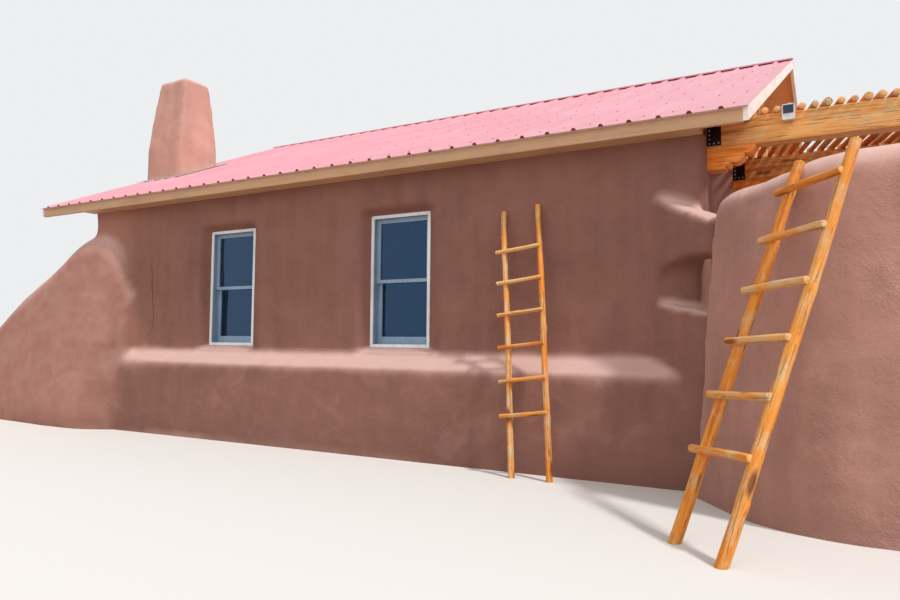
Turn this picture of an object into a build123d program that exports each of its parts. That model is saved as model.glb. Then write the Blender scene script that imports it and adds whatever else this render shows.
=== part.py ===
from build123d import *
from math import atan, cos, radians, sin, sqrt, tan
import os

os.makedirs("parts", exist_ok=True)

# An adobe house with a low ribbed-metal roof, sculpted buttresses, a patio wall and a pole pergola.
# Millimetres, +Z up, the front of the house faces -Y. The origin is on the ground, in the middle
# of the house plan, below the ridge.

# House body
HOUSE_LENGTH = 7620
HOUSE_DEPTH = 8530
WALL = 350
WALL_TOP = 2720
FLOOR_TOP = 300
CORNER_ROUND = 70

# Windows, the same on the front and on the back
WINDOW_WIDTH = 700
WINDOW_HEIGHT = 1325
WINDOW_SILL = 1010
WINDOW_LEFT_X = -1390
WINDOW_RIGHT_X = 920
WINDOW_RECESS = 120
WINDOW_FRAME = 32
WINDOW_FRAME_DEPTH = 140
REVEAL_ROUND = 45
SASH_STILE = 42
SASH_BOTTOM_RAIL = 75
SASH_MEETING_RAIL = 34
SASH_THICKNESS = 34
SASH_SETBACK = 58
SASH_GAP = 3
GLASS = 6

# Patio door in the right wall
DOOR_WIDTH = 915
DOOR_HEIGHT = 2030
DOOR_INSET = 2365
DOOR_FRAME = 45
DOOR_FRAME_DEPTH = 120
DOOR_LEAF = 44
DOOR_SETBACK = 14
DOOR_RECESS = 110
DOOR_PANEL_MARGIN = 130
DOOR_PANEL_RAIL = 160
DOOR_PANEL_SINK = 12

# Stepped base along the front wall
BANCO_TOP = 950
BANCO_LIP = 810
BANCO_REACH = 200
BANCO_FOOT = 300
BANCO_ROUND = 60

# Roof
ROOF_SLOPE = 0.431
EAVE_TOP = 2820
EAVE_OVERHANG = 190
LEFT_OVERHANG = 860
RIGHT_OVERHANG = 363
DECK = 38
FASCIA = 38
SOFFIT = 20
BARGE = 38
BARGE_DEPTH = 115
RAFTER_WIDTH = 38
RAFTER_DEPTH = 184
RAFTER_PITCH = 610
RIDGE_BOARD = 38
RIDGE_BOARD_DEPTH = 235
TIE_DEPTH = 120
TIE_EVERY = 3

# Ribbed metal sheets
SHEET = 3
SHEET_LAP = 35
RIB_PITCH = 229
RIB_HEIGHT = 20
RIB_BASE = 48
RIB_CREST = 22
RIDGE_CAP_LEG = 165

# Gable infill above the adobe
GABLE_PANEL = 90
GABLE_SETBACK = 25
BATTEN_WIDTH = 45
BATTEN_DEPTH = 18
BATTEN_PITCH = 405

# Chimney against the left wall
CHIMNEY_WIDTH = 815
CHIMNEY_DEPTH = 700
CHIMNEY_INSET = 1685
CHIMNEY_SHOULDER = 3980
CHIMNEY_TOP = 5050
CHIMNEY_TAPER = 6.5
CHIMNEY_CORNER = 90
CHIMNEY_ROUND = 50
FLUE = 260
FLUE_DEPTH = 900
FLASHING = 4
FLASHING_SKIRT = 130

# Left buttress: a rounded mass that tapers to the left and wraps round the front wall's corner.
# Each section: reach to the left of the corner, height, and set-in of its middle from the front
BUTTRESS_SECTIONS = (
    (-910, 1760, 260),
    (-720, 2080, 210),
    (-500, 2360, 185),
    (-200, 2440, 180),
    (160, 2395, 180),
    (400, 2260, 180),
    (780, 2035, 180),
    (1205, 1820, 180),
    (1844, 1440, 180),
    (2530, 970, 180),
    (3050, 480, 180),
)
BUTTRESS_HALF_TOP = 340
BUTTRESS_BATTER = 0.15
CORNER_PLAY = 1

# Wall that leaves the front wall at its right end, first low with an arched opening, then high
WING_INSET = 410
WING_TURN = -33.9
WING_LENGTH = 820
WING_THICKNESS = 330
WING_TOP_START = 2270
WING_TOP_END = 1900
WING_ROUND = 100
ARCH_START = 60
ARCH_WIDTH = 740
ARCH_SILL_START = 1390
ARCH_SILL_END = 1275
ARCH_SPRING_START = 1630
ARCH_SPRING_END = 1650
ARCH_CROWN = 1715
ARCH_CROWN_AT = 400

# High patio wall
PATIO_TURN = -54
PATIO_START_ALONG = 742
PATIO_START_IN = 276
PATIO_TOP = 2270
PATIO_HALF_TOP = 250
PATIO_BATTER = 0.09
PATIO_ROUND = 220
PATIO_STRAIGHT = 490
PATIO_BEND_RADIUS = 550
PATIO_RUN = 2000

# Pergola
PERGOLA_LENGTH = 3100
BEAM_WIDTH = 150
BEAM_HEIGHT = 220
BEAM_TOP = 2850
BEAM_SETBACK = 205
BEAM_PITCH = 1350
BEAM_COUNT = 3
CORBEL_REACH = 360
CORBEL_HEIGHT = 170
CORBEL_FLAT = 135
CORBEL_STEP = 22
CORBEL_BELLIES = ((178, 50), (280, 112))
BELLY_FULLNESS = 0.28
POST_DIAMETER = 190
POST_INSET = 420
POLE_DIAMETER = 56
POLE_PITCH = 84
POLE_SKEW = 14.5
POLE_GAP = 12
POLE_SIDE_COUNT = 8
POLE_SIDE_ANGLE = 22.5
STRAP = 6
STRAP_WIDTH = 110
STRAP_HEIGHT = 180

# Small lamp on the front beam
LAMP_OFFSET = 600
LAMP_RISE = 40
LAMP_WIDTH = 88
LAMP_HEIGHT = 120
LAMP_DEPTH = 55
LAMP_ROUND = 12

# Leaning ladders of peeled poles
LADDER_SEAT_GAP = 0.3
WALL_LADDER_INSET = 1220
WALL_LADDER_WIDTH = 320
WALL_LADDER_RAIL = 26
WALL_LADDER_RUNG = 18
WALL_LADDER_LENGTH = 2310
WALL_LADDER_LEAN = 12
WALL_LADDER_SIDE_LEAN = 7.5
WALL_LADDER_RUNGS = 6
WALL_LADDER_FIRST = 510
WALL_LADDER_STEP = 284
PATIO_LADDER_ROUND_BEND = 29
PATIO_LADDER_TURN = -47.6
PATIO_LADDER_WIDTH = 428
PATIO_LADDER_RAIL = 35
PATIO_LADDER_RUNG = 23
PATIO_LADDER_TIP = 12
PATIO_LADDER_LEAN = 23
PATIO_LADDER_SIDE_LEAN = -2.75
PATIO_LADDER_RUNGS = 6
PATIO_LADDER_FIRST = 527
PATIO_LADDER_STEP = 325
RUNG_OVERHANG = 75
RUNG_LAP = 8

# Worked out from the sizes above
HALF_LENGTH = HOUSE_LENGTH / 2
HALF_DEPTH = HOUSE_DEPTH / 2
PITCH_COS = cos(atan(ROOF_SLOPE))
PITCH_SIN = sin(atan(ROOF_SLOPE))
CHIMNEY_Y = CHIMNEY_INSET - HALF_DEPTH
DOOR_Y = DOOR_INSET - HALF_DEPTH
BEAM_FRONT_Y = BEAM_SETBACK - HALF_DEPTH
ROOF_LEFT = -HALF_LENGTH - LEFT_OVERHANG
ROOF_RIGHT = HALF_LENGTH + RIGHT_OVERHANG
FASCIA_FACE = HALF_DEPTH + EAVE_OVERHANG
DECK_PLUMB = DECK / PITCH_COS
RAFTER_PLUMB = RAFTER_DEPTH / PITCH_COS
WINDOW_XS = (WINDOW_LEFT_X, WINDOW_RIGHT_X)


def roof_height(distance):
    """Top of the roof boards at a distance from the ridge line."""
    return EAVE_TOP + ROOF_SLOPE * (FASCIA_FACE - distance)


def write(piece, name):
    """Label a finished piece and write it to its own file."""
    piece.part.label = name
    export_step(piece.part, f"parts/{name}.step")


def wall_face(side):
    """Upright plane on the outer face of the front (-1) or back (1) wall, normal pointing out."""
    return Plane(origin=(0, side * HALF_DEPTH, 0), x_dir=(-side, 0, 0), z_dir=(0, side, 0))


def slope_band(side, outer, inner, drop, depth):
    """Closed outline of a board that follows one slope, in the YZ plane."""
    Polyline(
        (side * outer, roof_height(outer) - drop),
        (side * inner, roof_height(inner) - drop),
        (side * inner, roof_height(inner) - drop - depth),
        (side * outer, roof_height(outer) - drop - depth),
        close=True,
    )


# Long walls, full length, with the two window openings and their rounded outer reveals
def long_wall(side):
    with BuildPart() as wall:
        with BuildSketch(Plane.XY):
            with Locations((0, side * (HALF_DEPTH - WALL / 2))):
                Rectangle(HOUSE_LENGTH, WALL)
        extrude(amount=WALL_TOP)
        outer_corners = wall.edges().filter_by(Axis.Z).group_by(Axis.Y)[0 if side < 0 else -1]
        fillet(outer_corners, CORNER_ROUND)
        with BuildSketch(wall_face(side)):
            for x in WINDOW_XS:
                with Locations((-side * x, WINDOW_SILL + WINDOW_HEIGHT / 2)):
                    Rectangle(WINDOW_WIDTH, WINDOW_HEIGHT)
        extrude(amount=-WALL, mode=Mode.SUBTRACT)
        outer_face = wall.faces().sort_by(Axis.Y)[0 if side < 0 else -1]
        for opening in outer_face.inner_wires():
            fillet(opening.edges(), REVEAL_ROUND)
    return wall


write(long_wall(-1), "front_wall")
write(long_wall(1), "back_wall")

# Side walls, between the long ones
SIDE_LENGTH = HOUSE_DEPTH - 2 * WALL

with BuildPart() as left_wall:
    with BuildSketch(Plane.XY):
        with Locations((-HALF_LENGTH + WALL / 2, 0)):
            Rectangle(WALL, SIDE_LENGTH)
    extrude(amount=WALL_TOP)
write(left_wall, "left_wall")

with BuildPart() as right_wall:
    with BuildSketch(Plane.XY):
        with Locations((HALF_LENGTH - WALL / 2, 0)):
            Rectangle(WALL, SIDE_LENGTH)
    extrude(amount=WALL_TOP)
    with BuildSketch(Plane.YZ.offset(HALF_LENGTH)):
        with Locations((DOOR_Y, FLOOR_TOP + DOOR_HEIGHT / 2)):
            Rectangle(DOOR_WIDTH, DOOR_HEIGHT)
    extrude(amount=-WALL, mode=Mode.SUBTRACT)
write(right_wall, "right_wall")

with BuildPart() as floor_slab:
    with BuildSketch(Plane.XY):
        Rectangle(HOUSE_LENGTH - 2 * WALL, SIDE_LENGTH)
    extrude(amount=FLOOR_TOP)
write(floor_slab, "floor_slab")


# Double-hung windows: a frame, an upper sash outside, a lower sash inside, and their panes
SASH_WIDTH = WINDOW_WIDTH - 2 * WINDOW_FRAME
SASH_BOTTOM = WINDOW_SILL + WINDOW_FRAME
SASH_TOP = WINDOW_SILL + WINDOW_HEIGHT - WINDOW_FRAME
SASH_MIDDLE = (SASH_BOTTOM + SASH_TOP) / 2
UPPER_SASH = (SASH_MIDDLE - SASH_MEETING_RAIL / 2, SASH_TOP, SASH_MEETING_RAIL, SASH_STILE)
LOWER_SASH = (SASH_BOTTOM, SASH_MIDDLE + SASH_MEETING_RAIL / 2, SASH_BOTTOM_RAIL, SASH_MEETING_RAIL)
UPPER_FRONT = WINDOW_RECESS + SASH_SETBACK
LOWER_FRONT = UPPER_FRONT + SASH_THICKNESS + SASH_GAP


def window_frame(side, x):
    with BuildPart() as frame:
        with BuildSketch(wall_face(side).offset(-WINDOW_RECESS)):
            with Locations((-side * x, WINDOW_SILL + WINDOW_HEIGHT / 2)):
                Rectangle(WINDOW_WIDTH, WINDOW_HEIGHT)
                Rectangle(SASH_WIDTH, SASH_TOP - SASH_BOTTOM, mode=Mode.SUBTRACT)
        extrude(amount=-WINDOW_FRAME_DEPTH)
    return frame


def sash_light(sash):
    """Height and middle of the glazed part of a sash."""
    bottom, top, bottom_rail, top_rail = sash
    height = top - top_rail - bottom - bottom_rail
    return height, bottom + bottom_rail + height / 2


def window_sashes(side, x):
    with BuildPart() as sashes:
        for sash, front in ((UPPER_SASH, UPPER_FRONT), (LOWER_SASH, LOWER_FRONT)):
            bottom, top = sash[0], sash[1]
            light_height, light_middle = sash_light(sash)
            with BuildSketch(wall_face(side).offset(-front)):
                with Locations((-side * x, (bottom + top) / 2)):
                    Rectangle(SASH_WIDTH, top - bottom)
                with Locations((-side * x, light_middle)):
                    Rectangle(SASH_WIDTH - 2 * SASH_STILE, light_height, mode=Mode.SUBTRACT)
            extrude(amount=-SASH_THICKNESS)
    return sashes


def window_glass(side, x):
    with BuildPart() as glass:
        for sash, front in ((UPPER_SASH, UPPER_FRONT), (LOWER_SASH, LOWER_FRONT)):
            light_height, light_middle = sash_light(sash)
            with BuildSketch(wall_face(side).offset(-front - (SASH_THICKNESS - GLASS) / 2)):
                with Locations((-side * x, light_middle)):
                    Rectangle(SASH_WIDTH - 2 * SASH_STILE, light_height)
            extrude(amount=-GLASS)
    return glass


for side, wall_name in ((-1, "front"), (1, "back")):
    for x, place in zip(WINDOW_XS, ("left", "right")):
        write(window_frame(side, x), f"{wall_name}_{place}_window_frame")
        write(window_sashes(side, x), f"{wall_name}_{place}_window_sashes")
        write(window_glass(side, x), f"{wall_name}_{place}_window_glass")


# Patio door: a frame of two jambs and a head, and a leaf with two sunk panels
door_plane = Plane.YZ.offset(HALF_LENGTH - DOOR_RECESS)
LEAF_WIDTH = DOOR_WIDTH - 2 * DOOR_FRAME
LEAF_HEIGHT = DOOR_HEIGHT - DOOR_FRAME

with BuildPart() as door_frame:
    with BuildSketch(door_plane):
        with Locations((DOOR_Y, FLOOR_TOP + DOOR_HEIGHT / 2)):
            Rectangle(DOOR_WIDTH, DOOR_HEIGHT)
        with Locations((DOOR_Y, FLOOR_TOP + LEAF_HEIGHT / 2)):
            Rectangle(LEAF_WIDTH, LEAF_HEIGHT, mode=Mode.SUBTRACT)
    extrude(amount=-DOOR_FRAME_DEPTH)
write(door_frame, "door_frame")

with BuildPart() as door_leaf:
    with BuildSketch(door_plane.offset(-DOOR_SETBACK)):
        with Locations((DOOR_Y, FLOOR_TOP + LEAF_HEIGHT / 2)):
            Rectangle(LEAF_WIDTH, LEAF_HEIGHT)
    extrude(amount=-DOOR_LEAF)
    panel_height = (LEAF_HEIGHT - 3 * DOOR_PANEL_RAIL) / 2
    for face_offset, inward in ((0, -1), (DOOR_LEAF, 1)):
        with BuildSketch(door_plane.offset(-DOOR_SETBACK - face_offset)):
            with Locations((DOOR_Y, FLOOR_TOP + LEAF_HEIGHT / 2)):
                with GridLocations(0, panel_height + DOOR_PANEL_RAIL, 1, 2):
                    Rectangle(LEAF_WIDTH - 2 * DOOR_PANEL_MARGIN, panel_height)
        extrude(amount=inward * DOOR_PANEL_SINK, mode=Mode.SUBTRACT)
write(door_leaf, "door_leaf")


# Wall that leaves the front wall: its own upright plane, +X along the wall, normal outwards
wing_direction = Vector(1, 0, 0).rotate(Axis.Z, WING_TURN)
wing_normal = wing_direction.rotate(Axis.Z, -90)
wing_start = Vector(HALF_LENGTH - WING_INSET, -HALF_DEPTH, 0)
wing_plane = Plane(origin=wing_start, x_dir=wing_direction, z_dir=wing_normal)
wing_middle = wing_plane.offset(-WING_THICKNESS / 2)
patio_direction = Vector(1, 0, 0).rotate(Axis.Z, PATIO_TURN)
patio_normal = patio_direction.rotate(Axis.Z, -90)
patio_start = wing_start + wing_direction * PATIO_START_ALONG - wing_normal * PATIO_START_IN

with BuildPart() as wing_wall:
    with BuildSketch(wing_middle):
        with BuildLine():
            Polyline(
                (-WING_THICKNESS, 0),
                (WING_LENGTH, 0),
                (WING_LENGTH, WING_TOP_END),
                (0, WING_TOP_START),
                (-WING_THICKNESS, WING_TOP_START),
                close=True,
            )
        make_face()
        with BuildLine():
            Polyline(
                (ARCH_START, ARCH_SPRING_START),
                (ARCH_START, ARCH_SILL_START),
                (ARCH_START + ARCH_WIDTH, ARCH_SILL_END),
                (ARCH_START + ARCH_WIDTH, ARCH_SPRING_END),
            )
            ThreePointArc(
                (ARCH_START + ARCH_WIDTH, ARCH_SPRING_END),
                (ARCH_START + ARCH_CROWN_AT, ARCH_CROWN),
                (ARCH_START, ARCH_SPRING_START),
            )
        make_face(mode=Mode.SUBTRACT)
    extrude(amount=WING_THICKNESS / 2, both=True)
    sloping_top = wing_wall.faces().filter_by(GeomType.PLANE).sort_by(
        lambda face: face.normal_at().Z
    )[-1]
    long_edges = sloping_top.edges().sort_by(SortBy.LENGTH)[-2:]
    fillet(long_edges, WING_ROUND)
    split(bisect_by=Plane(origin=wing_start, z_dir=(0, -1, 0)), keep=Keep.TOP)
    split(bisect_by=Plane(origin=patio_start, z_dir=-patio_direction), keep=Keep.TOP)
write(wing_wall, "wing_wall")

# Stepped base along the front wall, from the buttress to the wing wall
banco_start = -HALF_LENGTH - BUTTRESS_SECTIONS[0][0]
with BuildPart() as front_banco:
    with BuildSketch(Plane.YZ.offset(banco_start)):
        with BuildLine():
            Polyline(
                (-HALF_DEPTH, 0),
                (-HALF_DEPTH, BANCO_TOP),
                (-HALF_DEPTH - BANCO_REACH, BANCO_LIP),
                (-HALF_DEPTH - BANCO_FOOT, 0),
                close=True,
            )
        make_face()
    extrude(amount=HALF_LENGTH - banco_start)
    lip = front_banco.edges().filter_by(Axis.X).sort_by(
        lambda edge: abs(edge.center().Z - BANCO_LIP)
    )[0]
    fillet(lip, BANCO_ROUND)
    split(bisect_by=wing_plane, keep=Keep.TOP)
write(front_banco, "front_banco")


# Left buttress, shaped to the rounded corner of the house
def buttress_section(reach, height, inset):
    middle = inset - HALF_DEPTH
    half_base = BUTTRESS_HALF_TOP + BUTTRESS_BATTER * height
    shoulder = height - BUTTRESS_HALF_TOP
    with BuildSketch(Plane.YZ.offset(-HALF_LENGTH - reach)) as section:
        with BuildLine():
            Polyline(
                (middle - BUTTRESS_HALF_TOP, shoulder),
                (middle - half_base, 0),
                (middle + half_base, 0),
                (middle + BUTTRESS_HALF_TOP, shoulder),
            )
            ThreePointArc(
                (middle + BUTTRESS_HALF_TOP, shoulder),
                (middle, height),
                (middle - BUTTRESS_HALF_TOP, shoulder),
            )
        make_face()
    return section


with BuildPart() as left_buttress:
    for reach, height, inset in BUTTRESS_SECTIONS:
        add(buttress_section(reach, height, inset).sketch)
    loft()
    with BuildSketch(Plane.XY):
        RectangleRounded(HOUSE_LENGTH, HOUSE_DEPTH, CORNER_ROUND - CORNER_PLAY)
    extrude(amount=WALL_TOP, mode=Mode.SUBTRACT)
write(left_buttress, "left_buttress")


# Patio wall: one battered, round-topped section, carried straight on from the wing wall's end,
# then round a bend to run along +X, with a round end
PATIO_HALF_BASE = PATIO_HALF_TOP + PATIO_BATTER * PATIO_TOP


def patio_section(plane):
    with BuildSketch(plane) as section:
        with BuildLine():
            crown = FilletPolyline(
                (-PATIO_HALF_BASE, 0),
                (-PATIO_HALF_TOP, PATIO_TOP),
                (PATIO_HALF_TOP, PATIO_TOP),
                (PATIO_HALF_BASE, 0),
                radius=PATIO_ROUND,
            )
            Line(crown @ 1, crown @ 0)
        make_face()
    return section.sketch


patio_corner = patio_start + patio_direction * PATIO_STRAIGHT
patio_end_plane = Plane(origin=patio_corner, x_dir=-patio_normal, z_dir=patio_direction)

with BuildPart() as patio_wall_straight:
    extrude(patio_section(patio_end_plane), amount=-PATIO_STRAIGHT)
write(patio_wall_straight, "patio_wall_straight")

bend_centre = patio_corner - patio_normal * PATIO_BEND_RADIUS
bend_axis = Axis(bend_centre, (0, 0, 1))
with BuildPart() as patio_wall_bend:
    revolve(patio_section(patio_end_plane), axis=bend_axis, revolution_arc=-PATIO_TURN)
write(patio_wall_bend, "patio_wall_bend")

bend_end = bend_centre + (patio_corner - bend_centre).rotate(Axis.Z, -PATIO_TURN)
run_plane = Plane(origin=bend_end, x_dir=(0, 1, 0), z_dir=(1, 0, 0))
run_end_plane = run_plane.offset(PATIO_RUN)
with BuildPart() as patio_wall_run:
    extrude(patio_section(run_plane), amount=PATIO_RUN)
    with BuildSketch(run_end_plane):
        with BuildLine():
            half_crown = FilletPolyline(
                (0, PATIO_TOP), (PATIO_HALF_TOP, PATIO_TOP), (PATIO_HALF_BASE, 0), radius=PATIO_ROUND
            )
            Polyline(half_crown @ 1, (0, 0), half_crown @ 0)
        make_face()
    revolve(axis=Axis(run_end_plane.origin, (0, 0, 1)), revolution_arc=-180)
write(patio_wall_run, "patio_wall_run")

# Chimney stack from the ground, outside the left wall, with an open flue
chimney_x = -HALF_LENGTH - CHIMNEY_WIDTH / 2

with BuildSketch(Plane.XY) as chimney_plan:
    with Locations((chimney_x, CHIMNEY_Y)):
        RectangleRounded(CHIMNEY_WIDTH, CHIMNEY_DEPTH, CHIMNEY_CORNER)

with BuildPart() as chimney_stack:
    extrude(chimney_plan.sketch, amount=CHIMNEY_SHOULDER)
    shoulder = chimney_stack.faces().sort_by(Axis.Z)[-1]
    extrude(shoulder, amount=CHIMNEY_TOP - CHIMNEY_SHOULDER, taper=CHIMNEY_TAPER)
    fillet(chimney_stack.faces().sort_by(Axis.Z)[-1].edges(), CHIMNEY_ROUND)
    with BuildSketch(Plane.XY.offset(CHIMNEY_TOP)):
        with Locations((chimney_x, CHIMNEY_Y)):
            Rectangle(FLUE, FLUE)
    extrude(amount=-FLUE_DEPTH, mode=Mode.SUBTRACT)
write(chimney_stack, "chimney_stack")


# Roof timbers: rafters with a level seat on the wall, a ridge board and ties from wall to wall
inner_length = HOUSE_LENGTH - 2 * WALL
rafter_count = int(inner_length // RAFTER_PITCH) + 1


with BuildPart() as rafters:
    for side in (-1, 1):
        with BuildSketch(Plane.YZ):
            with BuildLine():
                slope_band(side, HALF_DEPTH, RIDGE_BOARD / 2, DECK_PLUMB, RAFTER_PLUMB)
            make_face()
            with Locations((0, WALL_TOP / 2)):
                Rectangle(HOUSE_DEPTH, WALL_TOP, mode=Mode.SUBTRACT)
        rafter = extrude(amount=RAFTER_WIDTH / 2, both=True, mode=Mode.PRIVATE)
        with GridLocations(RAFTER_PITCH, 0, rafter_count, 1):
            add(rafter)
write(rafters, "rafters")

gable_inner_length = HOUSE_LENGTH - 2 * (GABLE_SETBACK + GABLE_PANEL)
with BuildPart() as ridge_board:
    with BuildSketch(Plane.XZ.offset(-RIDGE_BOARD / 2)):
        with Locations((0, roof_height(RIDGE_BOARD / 2) - DECK_PLUMB - RIDGE_BOARD_DEPTH / 2)):
            Rectangle(gable_inner_length, RIDGE_BOARD_DEPTH)
    extrude(amount=RIDGE_BOARD)
write(ridge_board, "ridge_board")

first_rafter = -RAFTER_PITCH * (rafter_count - 1) / 2
tie_bays = range(1, rafter_count - 1, TIE_EVERY)
with BuildPart() as ceiling_ties:
    with BuildSketch(Plane.XY.offset(WALL_TOP)):
        with Locations(*[(first_rafter + (bay + 1 / 2) * RAFTER_PITCH, 0) for bay in tie_bays]):
            Rectangle(RAFTER_WIDTH, HOUSE_DEPTH - WALL)
    extrude(amount=TIE_DEPTH)
write(ceiling_ties, "ceiling_ties")


# Roof boards on the rafters
def roof_deck(side):
    with BuildPart() as deck:
        with BuildSketch(Plane.YZ.offset(ROOF_LEFT + BARGE)):
            with BuildLine():
                slope_band(side, FASCIA_FACE - FASCIA, 0, 0, DECK_PLUMB)
            make_face()
        extrude(amount=ROOF_RIGHT - ROOF_LEFT - 2 * BARGE)
        if side < 0:
            extrude(chimney_plan.sketch, amount=CHIMNEY_TOP, mode=Mode.SUBTRACT)
    return deck


write(roof_deck(-1), "front_roof_boards")
write(roof_deck(1), "back_roof_boards")


# Boxed eaves: a fascia board and a level soffit back to the wall
def eave(side):
    fascia_back = FASCIA_FACE - FASCIA
    with BuildPart() as box:
        with BuildSketch(Plane.YZ.offset(ROOF_LEFT + BARGE)):
            with BuildLine():
                Polyline(
                    (side * FASCIA_FACE, roof_height(FASCIA_FACE)),
                    (side * fascia_back, roof_height(fascia_back)),
                    (side * fascia_back, WALL_TOP),
                    (side * HALF_DEPTH, WALL_TOP),
                    (side * HALF_DEPTH, WALL_TOP - SOFFIT),
                    (side * FASCIA_FACE, WALL_TOP - SOFFIT),
                    close=True,
                )
            make_face()
        extrude(amount=ROOF_RIGHT - ROOF_LEFT - 2 * BARGE)
    return box


write(eave(-1), "front_eave")
write(eave(1), "back_eave")


# Barge boards: one pair over each gable end, joined at the ridge
def barge_boards(start):
    with BuildPart() as boards:
        with BuildSketch(Plane.YZ.offset(start)):
            with BuildLine():
                Polyline(
                    (-FASCIA_FACE, roof_height(FASCIA_FACE)),
                    (0, roof_height(0)),
                    (FASCIA_FACE, roof_height(FASCIA_FACE)),
                    (FASCIA_FACE, roof_height(FASCIA_FACE) - BARGE_DEPTH),
                    (0, roof_height(0) - BARGE_DEPTH),
                    (-FASCIA_FACE, roof_height(FASCIA_FACE) - BARGE_DEPTH),
                    close=True,
                )
            make_face()
        extrude(amount=BARGE)
    return boards


write(barge_boards(ROOF_RIGHT - BARGE), "right_barge_boards")
write(barge_boards(ROOF_LEFT), "left_barge_boards")


# Gable infill: a boarded panel from the adobe to the roof boards, with upright battens outside
def gable_outline():
    Polyline(
        (-HALF_DEPTH, WALL_TOP),
        (-HALF_DEPTH, roof_height(HALF_DEPTH) - DECK_PLUMB),
        (0, roof_height(0) - DECK_PLUMB),
        (HALF_DEPTH, roof_height(HALF_DEPTH) - DECK_PLUMB),
        (HALF_DEPTH, WALL_TOP),
        close=True,
    )


def gable(side):
    outer = side * (HALF_LENGTH - GABLE_SETBACK)
    batten_count = 2 * int((HALF_DEPTH - BATTEN_PITCH) // BATTEN_PITCH) + 1
    with BuildPart() as panel:
        with BuildSketch(Plane.YZ.offset(outer)):
            with BuildLine():
                gable_outline()
            make_face()
        extrude(amount=-side * GABLE_PANEL)
        with BuildSketch(Plane.YZ.offset(outer)):
            with BuildLine():
                gable_outline()
            make_face()
            with Locations((0, WALL_TOP + HALF_DEPTH / 2)):
                with GridLocations(BATTEN_PITCH, 0, batten_count, 1):
                    Rectangle(BATTEN_WIDTH, HALF_DEPTH, mode=Mode.INTERSECT)
        extrude(amount=side * BATTEN_DEPTH)
    return panel


write(gable(1), "right_gable")
write(gable(-1), "left_gable")


# Ribbed sheets: the section across the ribs, drawn at the ridge and run down the slope
def ribbed_section(length):
    rib_count = int(length // RIB_PITCH)
    first = -RIB_PITCH * (rib_count - 1) / 2
    line = [(-length / 2, 0)]
    for index in range(rib_count):
        middle = first + index * RIB_PITCH
        line += [
            (middle - RIB_BASE / 2, 0),
            (middle - RIB_CREST / 2, RIB_HEIGHT),
            (middle + RIB_CREST / 2, RIB_HEIGHT),
            (middle + RIB_BASE / 2, 0),
        ]
    line.append((length / 2, 0))
    upper = [(x, y + SHEET) for x, y in line]
    Polyline(*line, *reversed(upper), close=True)


def roof_sheet(side):
    down_slope = (0, side * PITCH_COS, -PITCH_SIN)
    ridge = ((ROOF_LEFT + ROOF_RIGHT) / 2, 0, roof_height(0))
    plane = Plane(origin=ridge, x_dir=(-side, 0, 0), z_dir=down_slope)
    with BuildPart() as sheet:
        with BuildSketch(plane):
            with BuildLine():
                ribbed_section(ROOF_RIGHT - ROOF_LEFT)
            make_face()
        extrude(amount=FASCIA_FACE / PITCH_COS + SHEET_LAP)
        if side < 0:
            extrude(chimney_plan.sketch, amount=CHIMNEY_TOP, mode=Mode.SUBTRACT)
    return sheet


write(roof_sheet(-1), "front_roof_sheet")
write(roof_sheet(1), "back_roof_sheet")

# Ridge cap: a folded strip lying on the ribs of both slopes
rib_top_rise = (RIB_HEIGHT + SHEET) / PITCH_COS
cap_rise = SHEET / PITCH_COS
cap_reach = RIDGE_CAP_LEG * PITCH_COS
with BuildPart() as ridge_cap:
    with BuildSketch(Plane.YZ.offset(ROOF_LEFT)):
        with BuildLine():
            Polyline(
                (-cap_reach, roof_height(cap_reach) + rib_top_rise),
                (0, roof_height(0) + rib_top_rise),
                (cap_reach, roof_height(cap_reach) + rib_top_rise),
                (cap_reach, roof_height(cap_reach) + rib_top_rise + cap_rise),
                (0, roof_height(0) + rib_top_rise + cap_rise),
                (-cap_reach, roof_height(cap_reach) + rib_top_rise + cap_rise),
                close=True,
            )
        make_face()
    extrude(amount=ROOF_RIGHT - ROOF_LEFT)
write(ridge_cap, "ridge_cap")

# Flashing: a skirt on the ribs round the chimney
with BuildPart() as chimney_flashing:
    near = -CHIMNEY_Y + CHIMNEY_DEPTH / 2 + FLASHING_SKIRT
    far = -CHIMNEY_Y - CHIMNEY_DEPTH / 2 - FLASHING_SKIRT
    with BuildSketch(Plane.YZ.offset(ROOF_LEFT)):
        with BuildLine():
            slope_band(-1, near, far, -rib_top_rise - FLASHING, FLASHING)
        make_face()
    extrude(amount=LEFT_OVERHANG + FLASHING_SKIRT)
    extrude(chimney_plan.sketch, amount=CHIMNEY_TOP, mode=Mode.SUBTRACT)
write(chimney_flashing, "chimney_flashing")

# Pergola beams, each butted to the house wall over a carved corbel and carried by a post
beam_bottom = BEAM_TOP - BEAM_HEIGHT
post_x = HALF_LENGTH + PERGOLA_LENGTH - POST_INSET
corbel_bottom = beam_bottom - CORBEL_HEIGHT
beam_ys = [BEAM_FRONT_Y + BEAM_WIDTH / 2 + index * BEAM_PITCH for index in range(BEAM_COUNT)]


def corbel_outline(root, direction):
    """Carved end: a flat underside, a small step and three round bellies that rise to the tip."""
    knees = ((CORBEL_FLAT, CORBEL_STEP), *CORBEL_BELLIES, (CORBEL_REACH, CORBEL_HEIGHT))
    Polyline(
        (root + direction * CORBEL_REACH, beam_bottom),
        (root, beam_bottom),
        (root, corbel_bottom),
        (root + direction * CORBEL_FLAT, corbel_bottom),
        (root + direction * CORBEL_FLAT, corbel_bottom + CORBEL_STEP),
    )
    for (near, low), (far, high) in zip(knees, knees[1:]):
        belly_along = (near + far) / 2 + BELLY_FULLNESS * (high - low)
        belly_up = (low + high) / 2 - BELLY_FULLNESS * (far - near)
        ThreePointArc(
            (root + direction * near, corbel_bottom + low),
            (root + direction * belly_along, corbel_bottom + belly_up),
            (root + direction * far, corbel_bottom + high),
        )


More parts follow.
